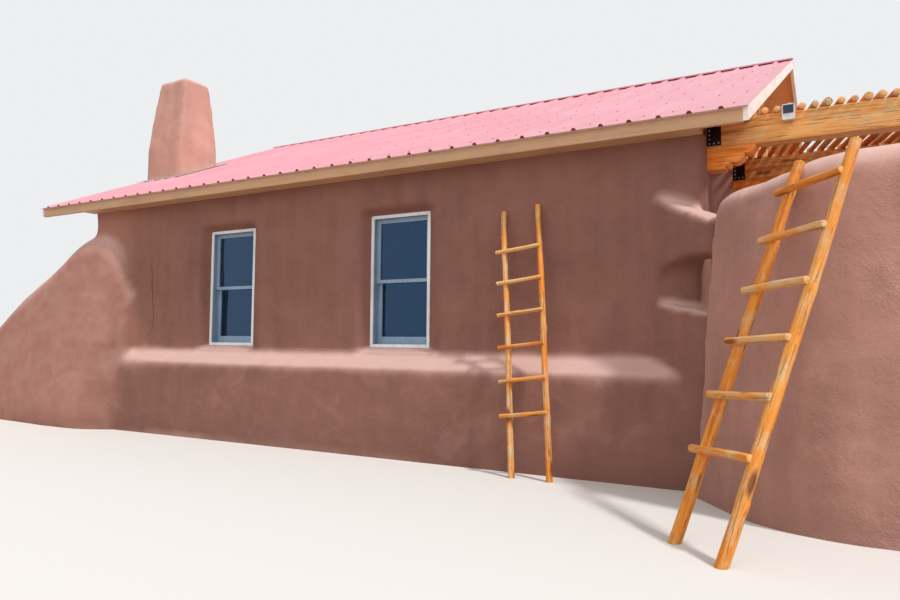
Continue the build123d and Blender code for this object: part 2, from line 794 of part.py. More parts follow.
with BuildPart() as pergola_beams:
    with BuildSketch(Plane.YZ.offset(HALF_LENGTH)):
        for y in beam_ys:
            with Locations((y, BEAM_TOP - BEAM_HEIGHT / 2)):
                Rectangle(BEAM_WIDTH, BEAM_HEIGHT)
    extrude(amount=PERGOLA_LENGTH)
write(pergola_beams, "pergola_beams")

with BuildPart() as pergola_posts:
    with BuildSketch(Plane.XY):
        for y in beam_ys:
            with Locations((post_x, y)):
                Circle(POST_DIAMETER / 2)
    extrude(amount=corbel_bottom)
write(pergola_posts, "pergola_posts")

with BuildPart() as post_corbels:
    for y in beam_ys:
        for direction in (-1, 1):
            with BuildSketch(Plane.XZ.offset(-y)):
                with BuildLine():
                    corbel_outline(post_x, direction)
                make_face()
            extrude(amount=BEAM_WIDTH / 2, both=True)
write(post_corbels, "post_corbels")

with BuildPart() as wall_corbels:
    for y in beam_ys:
        with BuildSketch(Plane.XZ.offset(-y)):
            with BuildLine():
                corbel_outline(HALF_LENGTH, 1)
            make_face()
        extrude(amount=BEAM_WIDTH / 2, both=True)
write(wall_corbels, "wall_corbels")

# Strap plates on the outer face of each beam, against the house wall
with BuildPart() as strap_plates:
    for y in beam_ys:
        with BuildSketch(Plane.XZ.offset(-y + BEAM_WIDTH / 2)):
            with Locations((HALF_LENGTH + STRAP_WIDTH / 2, BEAM_TOP - BEAM_HEIGHT / 2)):
                Rectangle(STRAP_WIDTH, STRAP_HEIGHT)
        extrude(amount=STRAP)
write(strap_plates, "strap_plates")


# Poles laid over the beams, slanted one way in one bay and square in the next
def poles(number, skew, front, back):
    middle_y = (front + back) / 2
    middle_x = HALF_LENGTH + PERGOLA_LENGTH / 2
    pole_z = BEAM_TOP + POLE_DIAMETER / 2 * cos(radians(POLE_SIDE_ANGLE))
    direction = Vector(0, 1, 0).rotate(Axis.Z, skew)
    across = direction.rotate(Axis.Z, -90)
    plane = Plane(origin=(middle_x, middle_y, pole_z), x_dir=across, z_dir=direction)
    spread = PERGOLA_LENGTH + BEAM_PITCH * tan(radians(skew))
    count = int(spread * cos(radians(skew)) // POLE_PITCH)
    with BuildPart() as layer:
        with BuildSketch(plane):
            with GridLocations(POLE_PITCH, 0, count, 1):
                RegularPolygon(POLE_DIAMETER / 2, POLE_SIDE_COUNT, rotation=POLE_SIDE_ANGLE)
        extrude(amount=BEAM_PITCH, both=True)
        with BuildSketch(Plane.XY.offset(BEAM_TOP)):
            with Locations((middle_x, middle_y)):
                Rectangle(PERGOLA_LENGTH - 2 * POLE_GAP, back - front)
        extrude(amount=2 * POLE_DIAMETER, mode=Mode.INTERSECT)
        barge_underside = BEAM_TOP + POLE_DIAMETER + POLE_GAP + BARGE_DEPTH
        barge_clear = FASCIA_FACE - (barge_underside - EAVE_TOP) / ROOF_SLOPE
        with BuildSketch(Plane.XY.offset(BEAM_TOP)):
            with Locations((ROOF_RIGHT - BARGE / 2, -barge_clear - BEAM_PITCH / 2)):
                Rectangle(BARGE + 2 * POLE_GAP, BEAM_PITCH)
        extrude(amount=2 * POLE_DIAMETER, mode=Mode.SUBTRACT)
    write(layer, f"pergola_poles_{number}")


poles(1, POLE_SKEW, BEAM_FRONT_Y, beam_ys[1] - POLE_GAP / 2)
poles(2, 0, beam_ys[1] + POLE_GAP / 2, beam_ys[2] + BEAM_WIDTH / 2)

# Small lamp housing on the front beam
with BuildPart() as beam_lamp:
    with BuildSketch(Plane.XZ.offset(-BEAM_FRONT_Y)):
        with Locations((HALF_LENGTH + LAMP_OFFSET, BEAM_TOP + LAMP_RISE - LAMP_HEIGHT / 2)):
            RectangleRounded(LAMP_WIDTH, LAMP_HEIGHT, LAMP_ROUND)
    extrude(amount=LAMP_DEPTH)
write(beam_lamp, "beam_lamp")


# Ladders: two round rails with round rungs let into their fronts, cut level at the ground. The
# rungs run past the left rail and end on the right one
def leaning_plane(foot, across, outward, lean, side_lean):
    """Plane square to the rails at the foot: +X across the ladder, normal up the rails."""
    upright = Vector(0, 0, 1) * cos(radians(lean)) - outward * sin(radians(lean))
    up_rail = upright * cos(radians(side_lean)) + across * sin(radians(side_lean))
    across_rail = across * cos(radians(side_lean)) - upright * sin(radians(side_lean))
    return Plane(origin=foot, x_dir=across_rail, z_dir=up_rail)


def ladder(foot_plane, width, rail, rung, length, count, first, step):
    with BuildPart() as frame:
        with BuildSketch(foot_plane.offset(-width)):
            with GridLocations(width, 0, 2, 1):
                Circle(rail)
        extrude(amount=length + width)
        for index in range(count):
            middle = foot_plane.offset(first + index * step)
            rung_start = middle.from_local_coords((-width / 2 - RUNG_OVERHANG, -rail, 0))
            with BuildSketch(Plane(origin=rung_start, x_dir=-middle.y_dir, z_dir=middle.x_dir)):
                Circle(rung)
            extrude(amount=width + RUNG_OVERHANG + RUNG_LAP)
        split(bisect_by=Plane.XY, keep=Keep.TOP)
    return frame


# The first leans with the top of its higher rail against the front wall
wall_lean = radians(WALL_LADDER_LEAN)
wall_side_lean = radians(WALL_LADDER_SIDE_LEAN)
wall_ladder_rise = (
    WALL_LADDER_LENGTH * cos(wall_side_lean) + WALL_LADDER_WIDTH / 2 * sin(wall_side_lean)
)
rail_end_reach = WALL_LADDER_RAIL * sqrt(1 - (sin(wall_lean) * cos(wall_side_lean)) ** 2)
wall_ladder_reach = rail_end_reach + LADDER_SEAT_GAP + wall_ladder_rise * sin(wall_lean)
house_outward = Vector(0, -1, 0)
wall_ladder = ladder(
    leaning_plane(
        Vector(HALF_LENGTH - WALL_LADDER_INSET, -HALF_DEPTH, 0) + house_outward * wall_ladder_reach,
        Vector(1, 0, 0),
        house_outward,
        WALL_LADDER_LEAN,
        -WALL_LADDER_SIDE_LEAN,
    ),
    WALL_LADDER_WIDTH,
    WALL_LADDER_RAIL,
    WALL_LADDER_RUNG,
    WALL_LADDER_LENGTH,
    WALL_LADDER_RUNGS,
    WALL_LADDER_FIRST,
    WALL_LADDER_STEP,
)
write(wall_ladder, "wall_ladder")

# The second leans with its left rail on the rounded top edge of the patio wall's bend, where the
# rail, square to the edge, is a round away from the centre line of that rounding
edge_centre_in = PATIO_ROUND * (sqrt(1 + PATIO_BATTER**2) - PATIO_BATTER)
edge_along = patio_direction.rotate(Axis.Z, PATIO_LADDER_ROUND_BEND)
edge_centre = (
    bend_centre
    + edge_along.rotate(Axis.Z, -90) * (PATIO_BEND_RADIUS + PATIO_HALF_TOP - edge_centre_in)
    + Vector(0, 0, PATIO_TOP - PATIO_ROUND)
)
ladder_across = Vector(1, 0, 0).rotate(Axis.Z, PATIO_LADDER_TURN)
lean_plane = leaning_plane(
    edge_centre,
    ladder_across,
    ladder_across.rotate(Axis.Z, -90),
    PATIO_LADDER_LEAN,
    PATIO_LADDER_SIDE_LEAN,
)
rail_away = edge_along.cross(lean_plane.z_dir).normalized()
ladder_middle = (
    edge_centre
    + rail_away * (PATIO_ROUND + PATIO_LADDER_RAIL + LADDER_SEAT_GAP)
    + lean_plane.x_dir * PATIO_LADDER_WIDTH / 2
)
seat_along = ladder_middle.Z / lean_plane.z_dir.Z
patio_ladder_foot = ladder_middle - lean_plane.z_dir * seat_along
patio_ladder = ladder(
    Plane(origin=patio_ladder_foot, x_dir=lean_plane.x_dir, z_dir=lean_plane.z_dir),
    PATIO_LADDER_WIDTH,
    PATIO_LADDER_RAIL,
    PATIO_LADDER_RUNG,
    seat_along + PATIO_LADDER_TIP,
    PATIO_LADDER_RUNGS,
    PATIO_LADDER_FIRST,
    PATIO_LADDER_STEP,
)
write(patio_ladder, "patio_ladder")
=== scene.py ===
import math
import random
from functools import partial

import bmesh
import bpy
import numpy as np
from mathutils import Matrix, Vector, noise
from mathutils.bvhtree import BVHTree


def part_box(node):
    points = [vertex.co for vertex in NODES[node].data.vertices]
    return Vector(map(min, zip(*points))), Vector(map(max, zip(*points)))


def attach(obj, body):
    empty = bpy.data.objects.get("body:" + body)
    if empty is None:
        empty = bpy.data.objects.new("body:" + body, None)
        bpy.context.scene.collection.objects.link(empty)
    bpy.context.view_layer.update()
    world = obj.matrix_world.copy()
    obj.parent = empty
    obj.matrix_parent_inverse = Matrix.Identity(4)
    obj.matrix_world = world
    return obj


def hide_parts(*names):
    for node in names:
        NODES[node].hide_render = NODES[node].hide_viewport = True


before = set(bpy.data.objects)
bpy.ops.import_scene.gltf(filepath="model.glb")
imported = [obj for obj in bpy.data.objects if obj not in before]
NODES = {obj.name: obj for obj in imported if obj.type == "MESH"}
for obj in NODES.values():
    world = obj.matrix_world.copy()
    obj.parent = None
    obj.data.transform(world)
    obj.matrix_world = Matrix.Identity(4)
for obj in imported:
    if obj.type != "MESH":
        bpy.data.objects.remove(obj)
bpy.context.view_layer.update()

bl_info = {
    "name": "Adobe house",
    "version": (1, 0, 0),
    "blender": (4, 5, 0),
    "location": "View3D > Sidebar > Adobe house",
    "description": "Dresses an adobe house: stucco, ribbed roof, windows, pergola and ladders",
    "category": "Object",
}

BODY = "root"
UP = Vector((0, 0, 1))

# Sizes of the frame that the dressing follows, in metres
HALF_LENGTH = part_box("front_wall")[1].x
HALF_DEPTH = -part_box("front_wall")[0].y
WALL_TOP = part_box("front_wall")[1].z
ROOF_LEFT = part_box("front_roof_sheet")[0].x
ROOF_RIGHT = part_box("front_roof_sheet")[1].x
ROOF_SLOPE = 0.431
SLOPE_STRETCH = math.hypot(1, ROOF_SLOPE)
EAVE_TOP = 2.82
FASCIA_FACE = HALF_DEPTH + 0.19
SHEET = 0.003
FASCIA = 0.038
SOFFIT = 0.02
BARGE = 0.038
RIB_PITCH = 0.229


# Materials
def linear(hex_colour):
    """An sRGB hex colour as linear RGBA."""
    channels = [int(hex_colour[i:i + 2], 16) / 255 for i in (1, 3, 5)]
    return tuple(c / 12.92 if c <= 0.04045 else ((c + 0.055) / 1.055) ** 2.4 for c in channels) + (1,)


def shade(colour, factor):
    """A colour made darker or lighter by a factor."""
    return tuple(min(1, c * factor) for c in colour[:3]) + (1,)


def tones(colour, *stops):
    """Ramp stops in shades of one colour, from pairs of place and factor."""
    return [(place, shade(colour, factor)) for place, factor in stops]


def put(tree, kind, *values, out=None, ramp=(), **named):
    """Adds a shader node and gives one of its outputs, the first in use unless out says which.
    Inputs take plain values or sockets, in order or by name, and None leaves one alone. Names
    in lower case are settings."""
    made = tree.nodes.new("ShaderNode" + kind)
    for key, value in named.items():
        if key.islower():
            setattr(made, key, value)
    feeds = list(zip([socket for socket in made.inputs if socket.enabled], values))
    feeds += [(made.inputs[key.replace("_", " ")], value)
              for key, value in named.items() if not key.islower()]
    for socket, value in feeds:
        if isinstance(value, bpy.types.NodeSocket):
            tree.links.new(value, socket)
        elif value is not None:
            socket.default_value = value
    if ramp:
        stops = made.color_ramp.elements
        while len(stops) < len(ramp):
            stops.new(0.5)
        for stop, (place, colour) in zip(stops, ramp):
            stop.position, stop.color = place, colour
    return next(s for s in made.outputs if s.enabled) if out is None else made.outputs[out]


def finish_of(name, **constants):
    """A new material: a put of its own, a join that feeds its shader and gives the material,
    and its object coordinates in metres."""
    material = bpy.data.materials.new(name)
    material.use_nodes = True
    tree = material.node_tree
    surface = tree.nodes["Principled BSDF"]
    for key, value in constants.items():
        surface.inputs[key.replace("_", " ")].default_value = value

    def join(**sockets):
        for key, socket in sockets.items():
            tree.links.new(socket, surface.inputs[key.replace("_", " ")])
        return material

    add = partial(put, tree)
    return add, join, add("TexCoord", out="Object")


def stucco(name, colour, erosion, painted_sunlight_before=None):
    """Lime and cement stucco with earth pigment, floated by hand: matt and sandy, clouded,
    streaked by rain and damp at the foot. Where it faces the sky it is paler: bleached and dusty,
    and partly a painted highlight. Left of a given x it is painted paler still, as painted sunlight.
    Erosion wears it, most from worn_from on."""
    worn_from = 4.6
    add, join, place = finish_of(name, IOR=1.5, Roughness=0.93, Specular_IOR_Level=0.2)
    along, height = (add("SeparateXYZ", place, out=axis) for axis in "XZ")
    # Clouds of pigment a metre across, float marks of a hand's width, streaks where rain ran
    cloud = add("TexNoise", place, Scale=0.8, Detail=5, Roughness=0.6)
    patch = add("TexNoise", place, Scale=3.8, Detail=6, Distortion=0.5)
    streak = add("TexNoise", add("Mapping", place, Scale=(7, 7, 0.55)), Scale=1, Detail=4)
    # Sand grains are 1 to 2 mm, drawn at 9 to 14 mm so that they show from across the yard
    sand = add("TexNoise", place, Scale=75, Detail=4, Roughness=0.75)
    grit = add("TexVoronoi", place, Scale=110)
    tone = 0
    for layer, share in ((cloud, 0.3), (patch, 0.22), (streak, 0.2), (sand, 0.28)):
        tone = add("Math", layer, share, tone, operation="MULTIPLY_ADD")
    skin = add("ValToRGB", tone, ramp=tones(colour, (0.36, 0.76), (0.5, 1), (0.64, 1.2)))
    # Paler left of the given x: painted sunlight on the buttress
    if painted_sunlight_before:
        painted_sunlight = add("MapRange", along, painted_sunlight_before, painted_sunlight_before - 0.5, 0, 0.75)
        skin = add("Mix", painted_sunlight, skin, shade(colour, 1.6), data_type="RGBA")
    # Bleached and dusty where the wall turns up to the sky, and paler there as a painted highlight of the
    # light that falls on tops
    rising = add("SeparateXYZ", add("NewGeometry", out="Normal"), out="Z")
    dust = add("Math", patch, 0.35, rising, operation="MULTIPLY_ADD")
    bleach = add("MapRange", dust, 0.3, 0.95, 0, 0.85)
    # Splashed and damp foot, broken up by the float marks
    edge = add("Math", patch, -0.5, height, operation="MULTIPLY_ADD")
    damp = add("MapRange", edge, -0.3, 0.06, 0.4, 0)
    # Pits between the grains, more of them where the weather has worn the skin away
    pit = add("MapRange", grit, 0, 0.36, 0.4 + 0.4 * erosion, 0)
    exposed = add("MapRange", along, worn_from, worn_from + 1.6, 0, 0.22 * erosion)
    bare = add("TexNoise", place, Scale=1.7, Detail=6, Roughness=0.7)
    worn = add("MapRange", add("Math", bare, exposed, operation="ADD"), 0.6, 0.72)
    pitted = add("Math", pit, worn, operation="MULTIPLY")
    for share, over in (
            (bleach, linear("#dbb5aa")), (damp, shade(colour, 0.62)), (pitted, shade(colour, 0.5))):
        skin = add("Mix", share, skin, over, data_type="RGBA")
    coarse = add("TexNoise", place, Scale=42, Detail=4, Roughness=0.7)
    rough = add("Math", coarse, worn, operation="MULTIPLY")
    relief = None
    for layer, strength, depth in ((patch, 0.5, 0.026), (sand, 0.5, 0.006), (rough, 0.6, 0.014)):
        relief = add("Bump", Height=layer, Strength=strength, Distance=depth, Normal=relief)
    relief = add("Bump", Height=pitted, Strength=0.7, Distance=0.006, Normal=relief, invert=True)
    return join(Base_Color=skin, Normal=relief)


def enamelled_steel(name, colour, chalk):
    """Roll-formed steel with a baked enamel that the sun has faded: low sheen, chalky clouds
    and faint run-off streaks down the slope."""
    add, join, place = finish_of(name, IOR=1.5)
    run = add("TexNoise", add("Mapping", place, Scale=(14, 0.6, 0.6)), Scale=1, Detail=3)
    cloud = add("TexNoise", place, Scale=1.3, Detail=4)
    speck = add("TexNoise", place, Scale=120, Detail=2)
    tone = 0
    for layer, share in ((run, 0.3), (cloud, 0.4), (speck, 0.3)):
        tone = add("Math", layer, share, tone, operation="MULTIPLY_ADD")
    # Flat stretches of sheet sit in shallow waves half a metre long
    wave = add("TexNoise", place, Scale=2.4, Detail=1)
    return join(
        Base_Color=add("ValToRGB", tone, ramp=tones(colour, (0.3, 0.9), (0.5, 1)) + [(0.72, chalk)]),
        Roughness=add("MapRange", cloud, 0, 1, 0.38, 0.6),
        Normal=add("Bump", Height=wave, Strength=0.15, Distance=0.008))


def bare_steel(name, colour, roughness):
    """Galvanised or blackened steel sheet, rubbed dull: spangle blotches and scuffs."""
    add, join, place = finish_of(name, Metallic=1.0)
    spangle = add("TexVoronoi", place, Scale=60)
    scuff = add("TexNoise", place, Scale=18, Detail=6, Roughness=0.7)
    tone = add("Mix", 0.7, spangle, scuff)
    return join(
        Base_Color=add("ValToRGB", tone, ramp=tones(colour, (0.3, 0.7), (0.55, 1), (0.75, 1.35))),
        Roughness=add("MapRange", scuff, 0, 1, roughness - 0.12, roughness + 0.15),
        Normal=add("Bump", Height=scuff, Strength=0.2, Distance=0.002))


def painted_pine(name, colour, along, roughness=0.5, recess_shade=None):
    """Sawn pine under brushed exterior paint: faint grain along the board, dusty patches
    and a few spots where the paint has worn thin. A recess shade is a darker colour on the parts
    that lie nearer the middle of the house than a given depth: painted shade in the recess."""
    add, join, place = finish_of(name, IOR=1.5)
    grain_at = add("Mapping", place, Scale=[1.6 if axis == along else 38 for axis in range(3)])
    grain = add("TexNoise", grain_at, Scale=1, Detail=6, Roughness=0.6)
    dust = add("TexNoise", place, Scale=2.6, Detail=6, Roughness=0.65)
    tone = add("Mix", 0.55, grain, dust)
    stops = (0.3, 0.74), (0.5, 1), (0.72, 1.14)
    paint = add("ValToRGB", tone, ramp=tones(colour, *stops))
    thin = add("TexNoise", grain_at, Scale=0.7, Detail=8, Roughness=0.75)
    worn = add("MapRange", thin, 0.68, 0.76)
    paint = add("Mix", worn, paint, shade(colour, 0.52), data_type="RGBA")
    # The deeper parts take the darker colour: painted shade in the window recess
    if recess_shade:
        recess_shade_colour, depth = recess_shade
        across = add("Math", add("SeparateXYZ", place, out="Y"), operation="ABSOLUTE")
        inner = add("Math", across, depth, operation="LESS_THAN")
        shaded_paint = add("ValToRGB", tone, ramp=tones(recess_shade_colour, *stops))
        paint = add("Mix", inner, paint, shaded_paint, data_type="RGBA")
    return join(
        Base_Color=paint,
        Roughness=add("MapRange", dust, 0, 1, roughness - 0.1, roughness + 0.18),
        Normal=add("Bump", Height=grain, Strength=0.35, Distance=0.0025))


def weathered_timber(name, colours, along=None, knots=1.0, checks=1.0):
    """Heavy pine left to the sun: long grain, drying checks, knots with dark hearts, silvered
    patches over a golden body. The grain runs along one axis, or else along each pole or beam,
    which then has a tint of its own."""
    dark, body, light, silver = map(linear, colours)
    add, join, place = finish_of(name, IOR=1.5)
    tint = None
    if along is None:
        along, place = 2, add("Attribute", out="Vector", attribute_name="grain")
        tint = add("Attribute", out="Fac", attribute_name="tint")
    grain_at, check_at, knot_at = (
        add("Mapping", place, Scale=[run if axis == along else across for axis in range(3)])
        for across, run in ((34, 1.3), (22, 0.55), (7, 2.2)))
    bend = add("TexNoise", place, Scale=3, Detail=2, out="Color")
    push = add("VectorMath", bend, (1.6, 1.6, 0.5), operation="MULTIPLY")
    flow = add("VectorMath", grain_at, push, operation="ADD")
    grain = add("TexNoise", flow, Scale=1, Detail=8, Roughness=0.62)
    fine = add("TexNoise", flow, Scale=4.5, Detail=4)
    tone = add("Mix", 0.35, grain, fine)
    # Sun-silvered patches a hand's width long
    bleach = grey = add("TexNoise", place, Scale=5.5, Detail=6, Roughness=0.7)
    if tint:
        tone = add("Math", tint, 0.24, tone, operation="MULTIPLY_ADD")
        tone = add("Math", tone, 0.12, operation="SUBTRACT")
        grey = add("Math", tint, 0.16, grey, operation="MULTIPLY_ADD")
    wood = add("ValToRGB", tone, ramp=[(0.28, dark), (0.46, body), (0.7, light)])
    pale = add("MapRange", grey, 0.56, 0.76, 0, 0.8)
    # Knots, 20 to 30 mm hearts
    heart = add("MapRange", add("TexVoronoi", knot_at, Scale=1), 0.1, 0.2, 0.9 * knots, 0)
    # Drying checks along the grain, where the sun has silvered it
    split = add("TexNoise", check_at, Scale=1, Detail=5, Roughness=0.55)
    middle = add("Math", add("Math", split, 0.5, operation="SUBTRACT"), operation="ABSOLUTE")
    check = add("MapRange", middle, 0.003, 0.011, 0.85 * checks, 0)
    check = add("Math", check, add("MapRange", bleach, 0.42, 0.5), operation="MULTIPLY")
    for share, over in ((pale, silver), (heart, shade(dark, 0.45)), (check, shade(dark, 0.22))):
        wood = add("Mix", share, wood, over, data_type="RGBA")
    relief = add("Bump", Height=grain, Strength=0.5, Distance=0.004)
    relief = add("Bump", Height=check, Strength=0.9, Distance=0.006, Normal=relief, invert=True)
    return join(Base_Color=wood, Roughness=add("MapRange", grain, 0, 1, 0.55, 0.85), Normal=relief)


def window_glass(name, colour):
    """Drawn window glass: clear, blue-green, faintly wavy. Its index is raised to strengthen the
    reflection, and the reflection is tinted blue, a painted reflection of a blue sky."""
    add, join, place = finish_of(
        name, IOR=1.9, Roughness=0.02, Transmission_Weight=1.0, Base_Color=colour,
        Specular_IOR_Level=1.0, Specular_Tint=linear("#8fb9ea"))
    wave = add("TexNoise", place, Scale=3.2, Detail=1)
    return join(Normal=add("Bump", Height=wave, Strength=0.12, Distance=0.01))


def moulded_plastic(name, colour, roughness):
    """Moulded plastic with a fine spark texture, slightly dusty."""
    add, join, place = finish_of(name, IOR=1.49)
    spark = add("TexNoise", place, Scale=900, Detail=2)
    dust = add("TexNoise", place, Scale=30, Detail=5)
    return join(
        Base_Color=add("ValToRGB", dust, ramp=tones(colour, (0.35, 1), (0.7, 0.82))),
        Roughness=add("MapRange", dust, 0, 1, roughness, roughness + 0.2),
        Normal=add("Bump", Height=spark, Strength=0.2, Distance=0.0003))


def fired_brick(name, colour, joint):
    """Fired paving bricks, 203 by 102 mm, laid in running bond with 8 mm sand joints."""
    add, join, place = finish_of(name, IOR=1.5, Roughness=0.85)
    bond = add("TexBrick", place, shade(colour, 0.85), shade(colour, 1.15), joint, Scale=1,
               Mortar_Size=0.004, Brick_Width=0.211, Row_Height=0.11)
    burn = add("TexNoise", place, Scale=40, Detail=6)
    relief = add("Bump", Height=bond.node.outputs[1], Strength=0.6, Distance=0.004, invert=True)
    return join(
        Base_Color=add("Mix", 0.35, bond, burn.node.outputs[1], data_type="RGBA", blend_type="SOFT_LIGHT"),
        Normal=add("Bump", Height=burn, Strength=0.3, Distance=0.002, Normal=relief))


# Pieces
def placed(name, data):
    """A new object in the scene."""
    made = bpy.data.objects.new(name, data)
    bpy.context.scene.collection.objects.link(made)
    return made


def add_piece(name, mesh, material, nodes=()):
    """Puts a mesh in the scene as a piece on the house, in place of the named CAD nodes."""
    piece = placed(name, mesh)
    mesh.materials.clear()
    mesh.materials.append(material)
    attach(piece, BODY)
    if nodes:
        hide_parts(*nodes)


def dress(material, *names):
    """Gives CAD nodes a material in their own slots."""
    for name in names:
        node = NODES[name]
        if not node.material_slots:
            node.data.materials.append(material)
        for slot in node.material_slots:
            slot.material = material


class Shape:
    """Vertices and faces with the grain coordinates and the tint of each vertex."""

    def __init__(self):
        self.points, self.faces, self.grain, self.tint = [], [], [], []

    def add(self, points, faces, grain=None, tint=None):
        start = len(self.points)
        self.points += [tuple(p) for p in points]
        self.faces += [tuple(start + i for i in face) for face in faces]
        self.grain += [tuple(g) for g in (grain or points)]
        self.tint += tint or [0.5] * len(points)

    def mesh(self, name, smooth_angle=None):
        made = bpy.data.meshes.new(name)
        made.from_pydata(self.points, [], self.faces)
        grain = made.attributes.new("grain", "FLOAT_VECTOR", "POINT")
        grain.data.foreach_set("vector", np.array(self.grain, np.float32).ravel())
        tint = made.attributes.new("tint", "FLOAT", "POINT")
        tint.data.foreach_set("value", np.array(self.tint, np.float32))
        made.update()
        if smooth_angle:
            made.shade_smooth()
            made.set_sharp_from_angle(angle=math.radians(smooth_angle))
        return made


def tube(rows, sides):
    """The faces of a closed tube, from rows of vertices round it."""
    faces = []
    for row in range(rows - 1):
        for k in range(sides):
            a, b = row * sides + k, row * sides + (k + 1) % sides
            faces.append((a, a + sides, b + sides, b))
    return faces + [tuple(range(sides)), tuple(reversed(range((rows - 1) * sides, rows * sides)))]


def flipped(faces):
    return [tuple(reversed(face)) for face in faces]


def axes_of(direction):
    """Two unit vectors square to a direction."""
    side = direction.cross(UP)
    if side.length < 0.05:
        side = direction.cross(Vector((1, 0, 0)))
    side.normalize()
    return side, direction.cross(side).normalized()


END_EASE = 0.003
KNOT_SPACING = 0.42
KNOT_LENGTH = 0.03
KNOT_SWELL = 0.16
STRAIGHT_END = 0.12
CUT_TINT = 1.1


def add_pole(shape, start, end, radius, seed, taper, wobble, lumps, sides, spacing=0.035):
    """A peeled pole: a line that wanders a little, swellings where branches were, paler cut ends.
    What would pass below the ground is cut level there."""
    rng = random.Random(seed)
    # The vector noise takes its offsets from the clock unless it has a seed
    noise.seed_set(seed)
    start, along = Vector(start), Vector(end) - Vector(start)
    length = along.length
    along.normalize()
    side, up = axes_of(along)
    count = max(4, int(length / spacing))
    drift = Vector([rng.uniform(-50, 50) for _ in range(3)])
    knots = [(rng.uniform(0.06, 0.94) * length, rng.uniform(0, math.tau))
             for _ in range(int(length / KNOT_SPACING) + 1)]
    body_tint = rng.random()
    points, grain, tints = [], [], []
    stations = [-END_EASE] + [length * i / count for i in range(count + 1)] + [length + END_EASE]
    for row, at in enumerate(stations):
        cut_end = row in (0, len(stations) - 1)
        sway = noise.noise_vector(drift + Vector((at * 0.9, 0, 0))) * wobble
        slack = max(0, min(1, min(at, length - at) / STRAIGHT_END))
        centre = start + along * at + (side * sway.x + up * sway.y) * slack
        for k in range(sides):
            turn = math.tau * k / sides
            u, v = math.cos(turn), math.sin(turn)
            rough = noise.noise(drift + Vector((at * 5, u * 1.4, v * 1.4)))
            swell = 0
            for knot_at, knot_turn in knots:
                gap = (at - knot_at) / KNOT_LENGTH
                if abs(gap) < 3:
                    swell += KNOT_SWELL * math.exp(-gap * gap) * max(0, math.cos(turn - knot_turn)) ** 3
            r = radius * (1 - taper * at / length) * (1 + lumps * rough + swell)
            if cut_end:
                r -= 1.4 * END_EASE
            point = centre + side * u * r + up * v * r
            if point.z < 0:
                point -= along * (point.z / along.z)
            points.append(point)
            grain.append((drift.x + u * r, drift.y + v * r, drift.z + at))
            tints.append(CUT_TINT if cut_end else body_tint)
    shape.add(points, tube(len(stations), sides), grain, tints)


def add_block(shape, low, high):
    """A plain box between two corners, for small fittings."""
    (x0, y0, z0), (x1, y1, z1) = low, high
    points = [(x, y, z) for z in (z0, z1) for y in (y0, y1) for x in (x0, x1)]
    shape.add(points, [(0, 2, 3, 1), (4, 5, 7, 6), (0, 1, 5, 4), (2, 6, 7, 3), (0, 4, 6, 2), (1, 3, 7, 5)])


def add_prism(shape, outline, x0, x1):
    """A bar along X with an outline of (y, z) points."""
    faces = tube(2, len(outline))
    area = sum(y0 * z1 - y1 * z0 for (y0, z0), (y1, z1) in zip(outline, outline[1:] + outline[:1]))
    shape.add([(x, y, z) for x in (x0, x1) for y, z in outline], faces if area < 0 else flipped(faces))


def add_disc(shape, centre, axis, profile, sides):
    """A turned shape: (radius, height) pairs along an axis from a centre, closed at both ends."""
    axis = Vector(axis).normalized()
    side, up = axes_of(axis)
    points = []
    for radius, height in profile:
        for k in range(sides):
            turn = math.tau * k / sides
            points.append(
                Vector(centre) + axis * height + (side * math.cos(turn) + up * math.sin(turn)) * radius)
    shape.add(points, tube(len(profile), sides))


# Plaster
RUN_ON = 0.12
BUTTRESS_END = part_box("front_banco")[0].x
WING_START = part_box("wing_wall")[0].x
WIDE_SPLAY = 0.2
NARROW_SPLAY = 0.085
FRAME_PROUD = 0.009
PATIO_START = (4.17, -4.45, 0)
PATIO_LINE = (0.588, -0.809, 0)
PATIO_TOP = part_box("patio_wall_bend")[1].z
# Distance from the wall's start and how far the top has sunk there
TOP_DIP = ((-0.2, 0.08), (0.2, 0.09), (0.5, 0.11), (0.7, 0.095), (0.85, 0.055), (1.0, 0.03), (1.3, 0.02))
DIP_FROM = 1.85
# The crack's path on the front wall, as x and z, then its width, its depth and each step along it
CRACK = ((-2.654, 2.054), (-2.623, 1.671), (-2.581, 1.329), (-2.60, 1.207), (-2.671, 1.097))
CRACK_WIDTH = 0.01
CRACK_DEPTH = 0.006
CRACK_STEP = 0.015


def points_of(mesh):
    points = np.zeros(len(mesh.vertices) * 3)
    mesh.vertices.foreach_get("co", points)
    return points.reshape(-1, 3)


def move_points(mesh, points):
    mesh.vertices.foreach_set("co", points.ravel())
    mesh.update()


def modified(mesh, kind, only=None, **settings):
    """A mesh after one modifier, which works only on the vertices that pass a test."""
    carrier = placed("carrier", mesh)
    modifier = carrier.modifiers.new(kind, kind)
    for key, value in settings.items():
        setattr(modifier, key, value)
    if only:
        chosen = np.nonzero(only(points_of(mesh)))[0]
        carrier.vertex_groups.new(name="only").add(chosen.tolist(), 1, "REPLACE")
        modifier.vertex_group = "only"
    depsgraph = bpy.context.evaluated_depsgraph_get()
    made = bpy.data.meshes.new_from_object(carrier.evaluated_get(depsgraph))
    bpy.data.objects.remove(carrier)
    return made


def remeshed(nodes, voxel, head=None):
    """The union of CAD nodes as one even mesh, run on below the ground and above the head."""
    shape = bmesh.new()
    for name in nodes:
        shape.from_mesh(NODES[name].data)
    bmesh.ops.remove_doubles(shape, verts=shape.verts, dist=0.00001)
    for vertex in shape.verts:
        if vertex.co.z < 0.001:
            vertex.co.z -= RUN_ON
        if head and vertex.co.z > head - 0.001:
            vertex.co.z += RUN_ON
    rough = bpy.data.meshes.new("rough")
    shape.to_mesh(rough)
    shape.free()
    return modified(rough, "REMESH", mode="VOXEL", voxel_size=voxel)


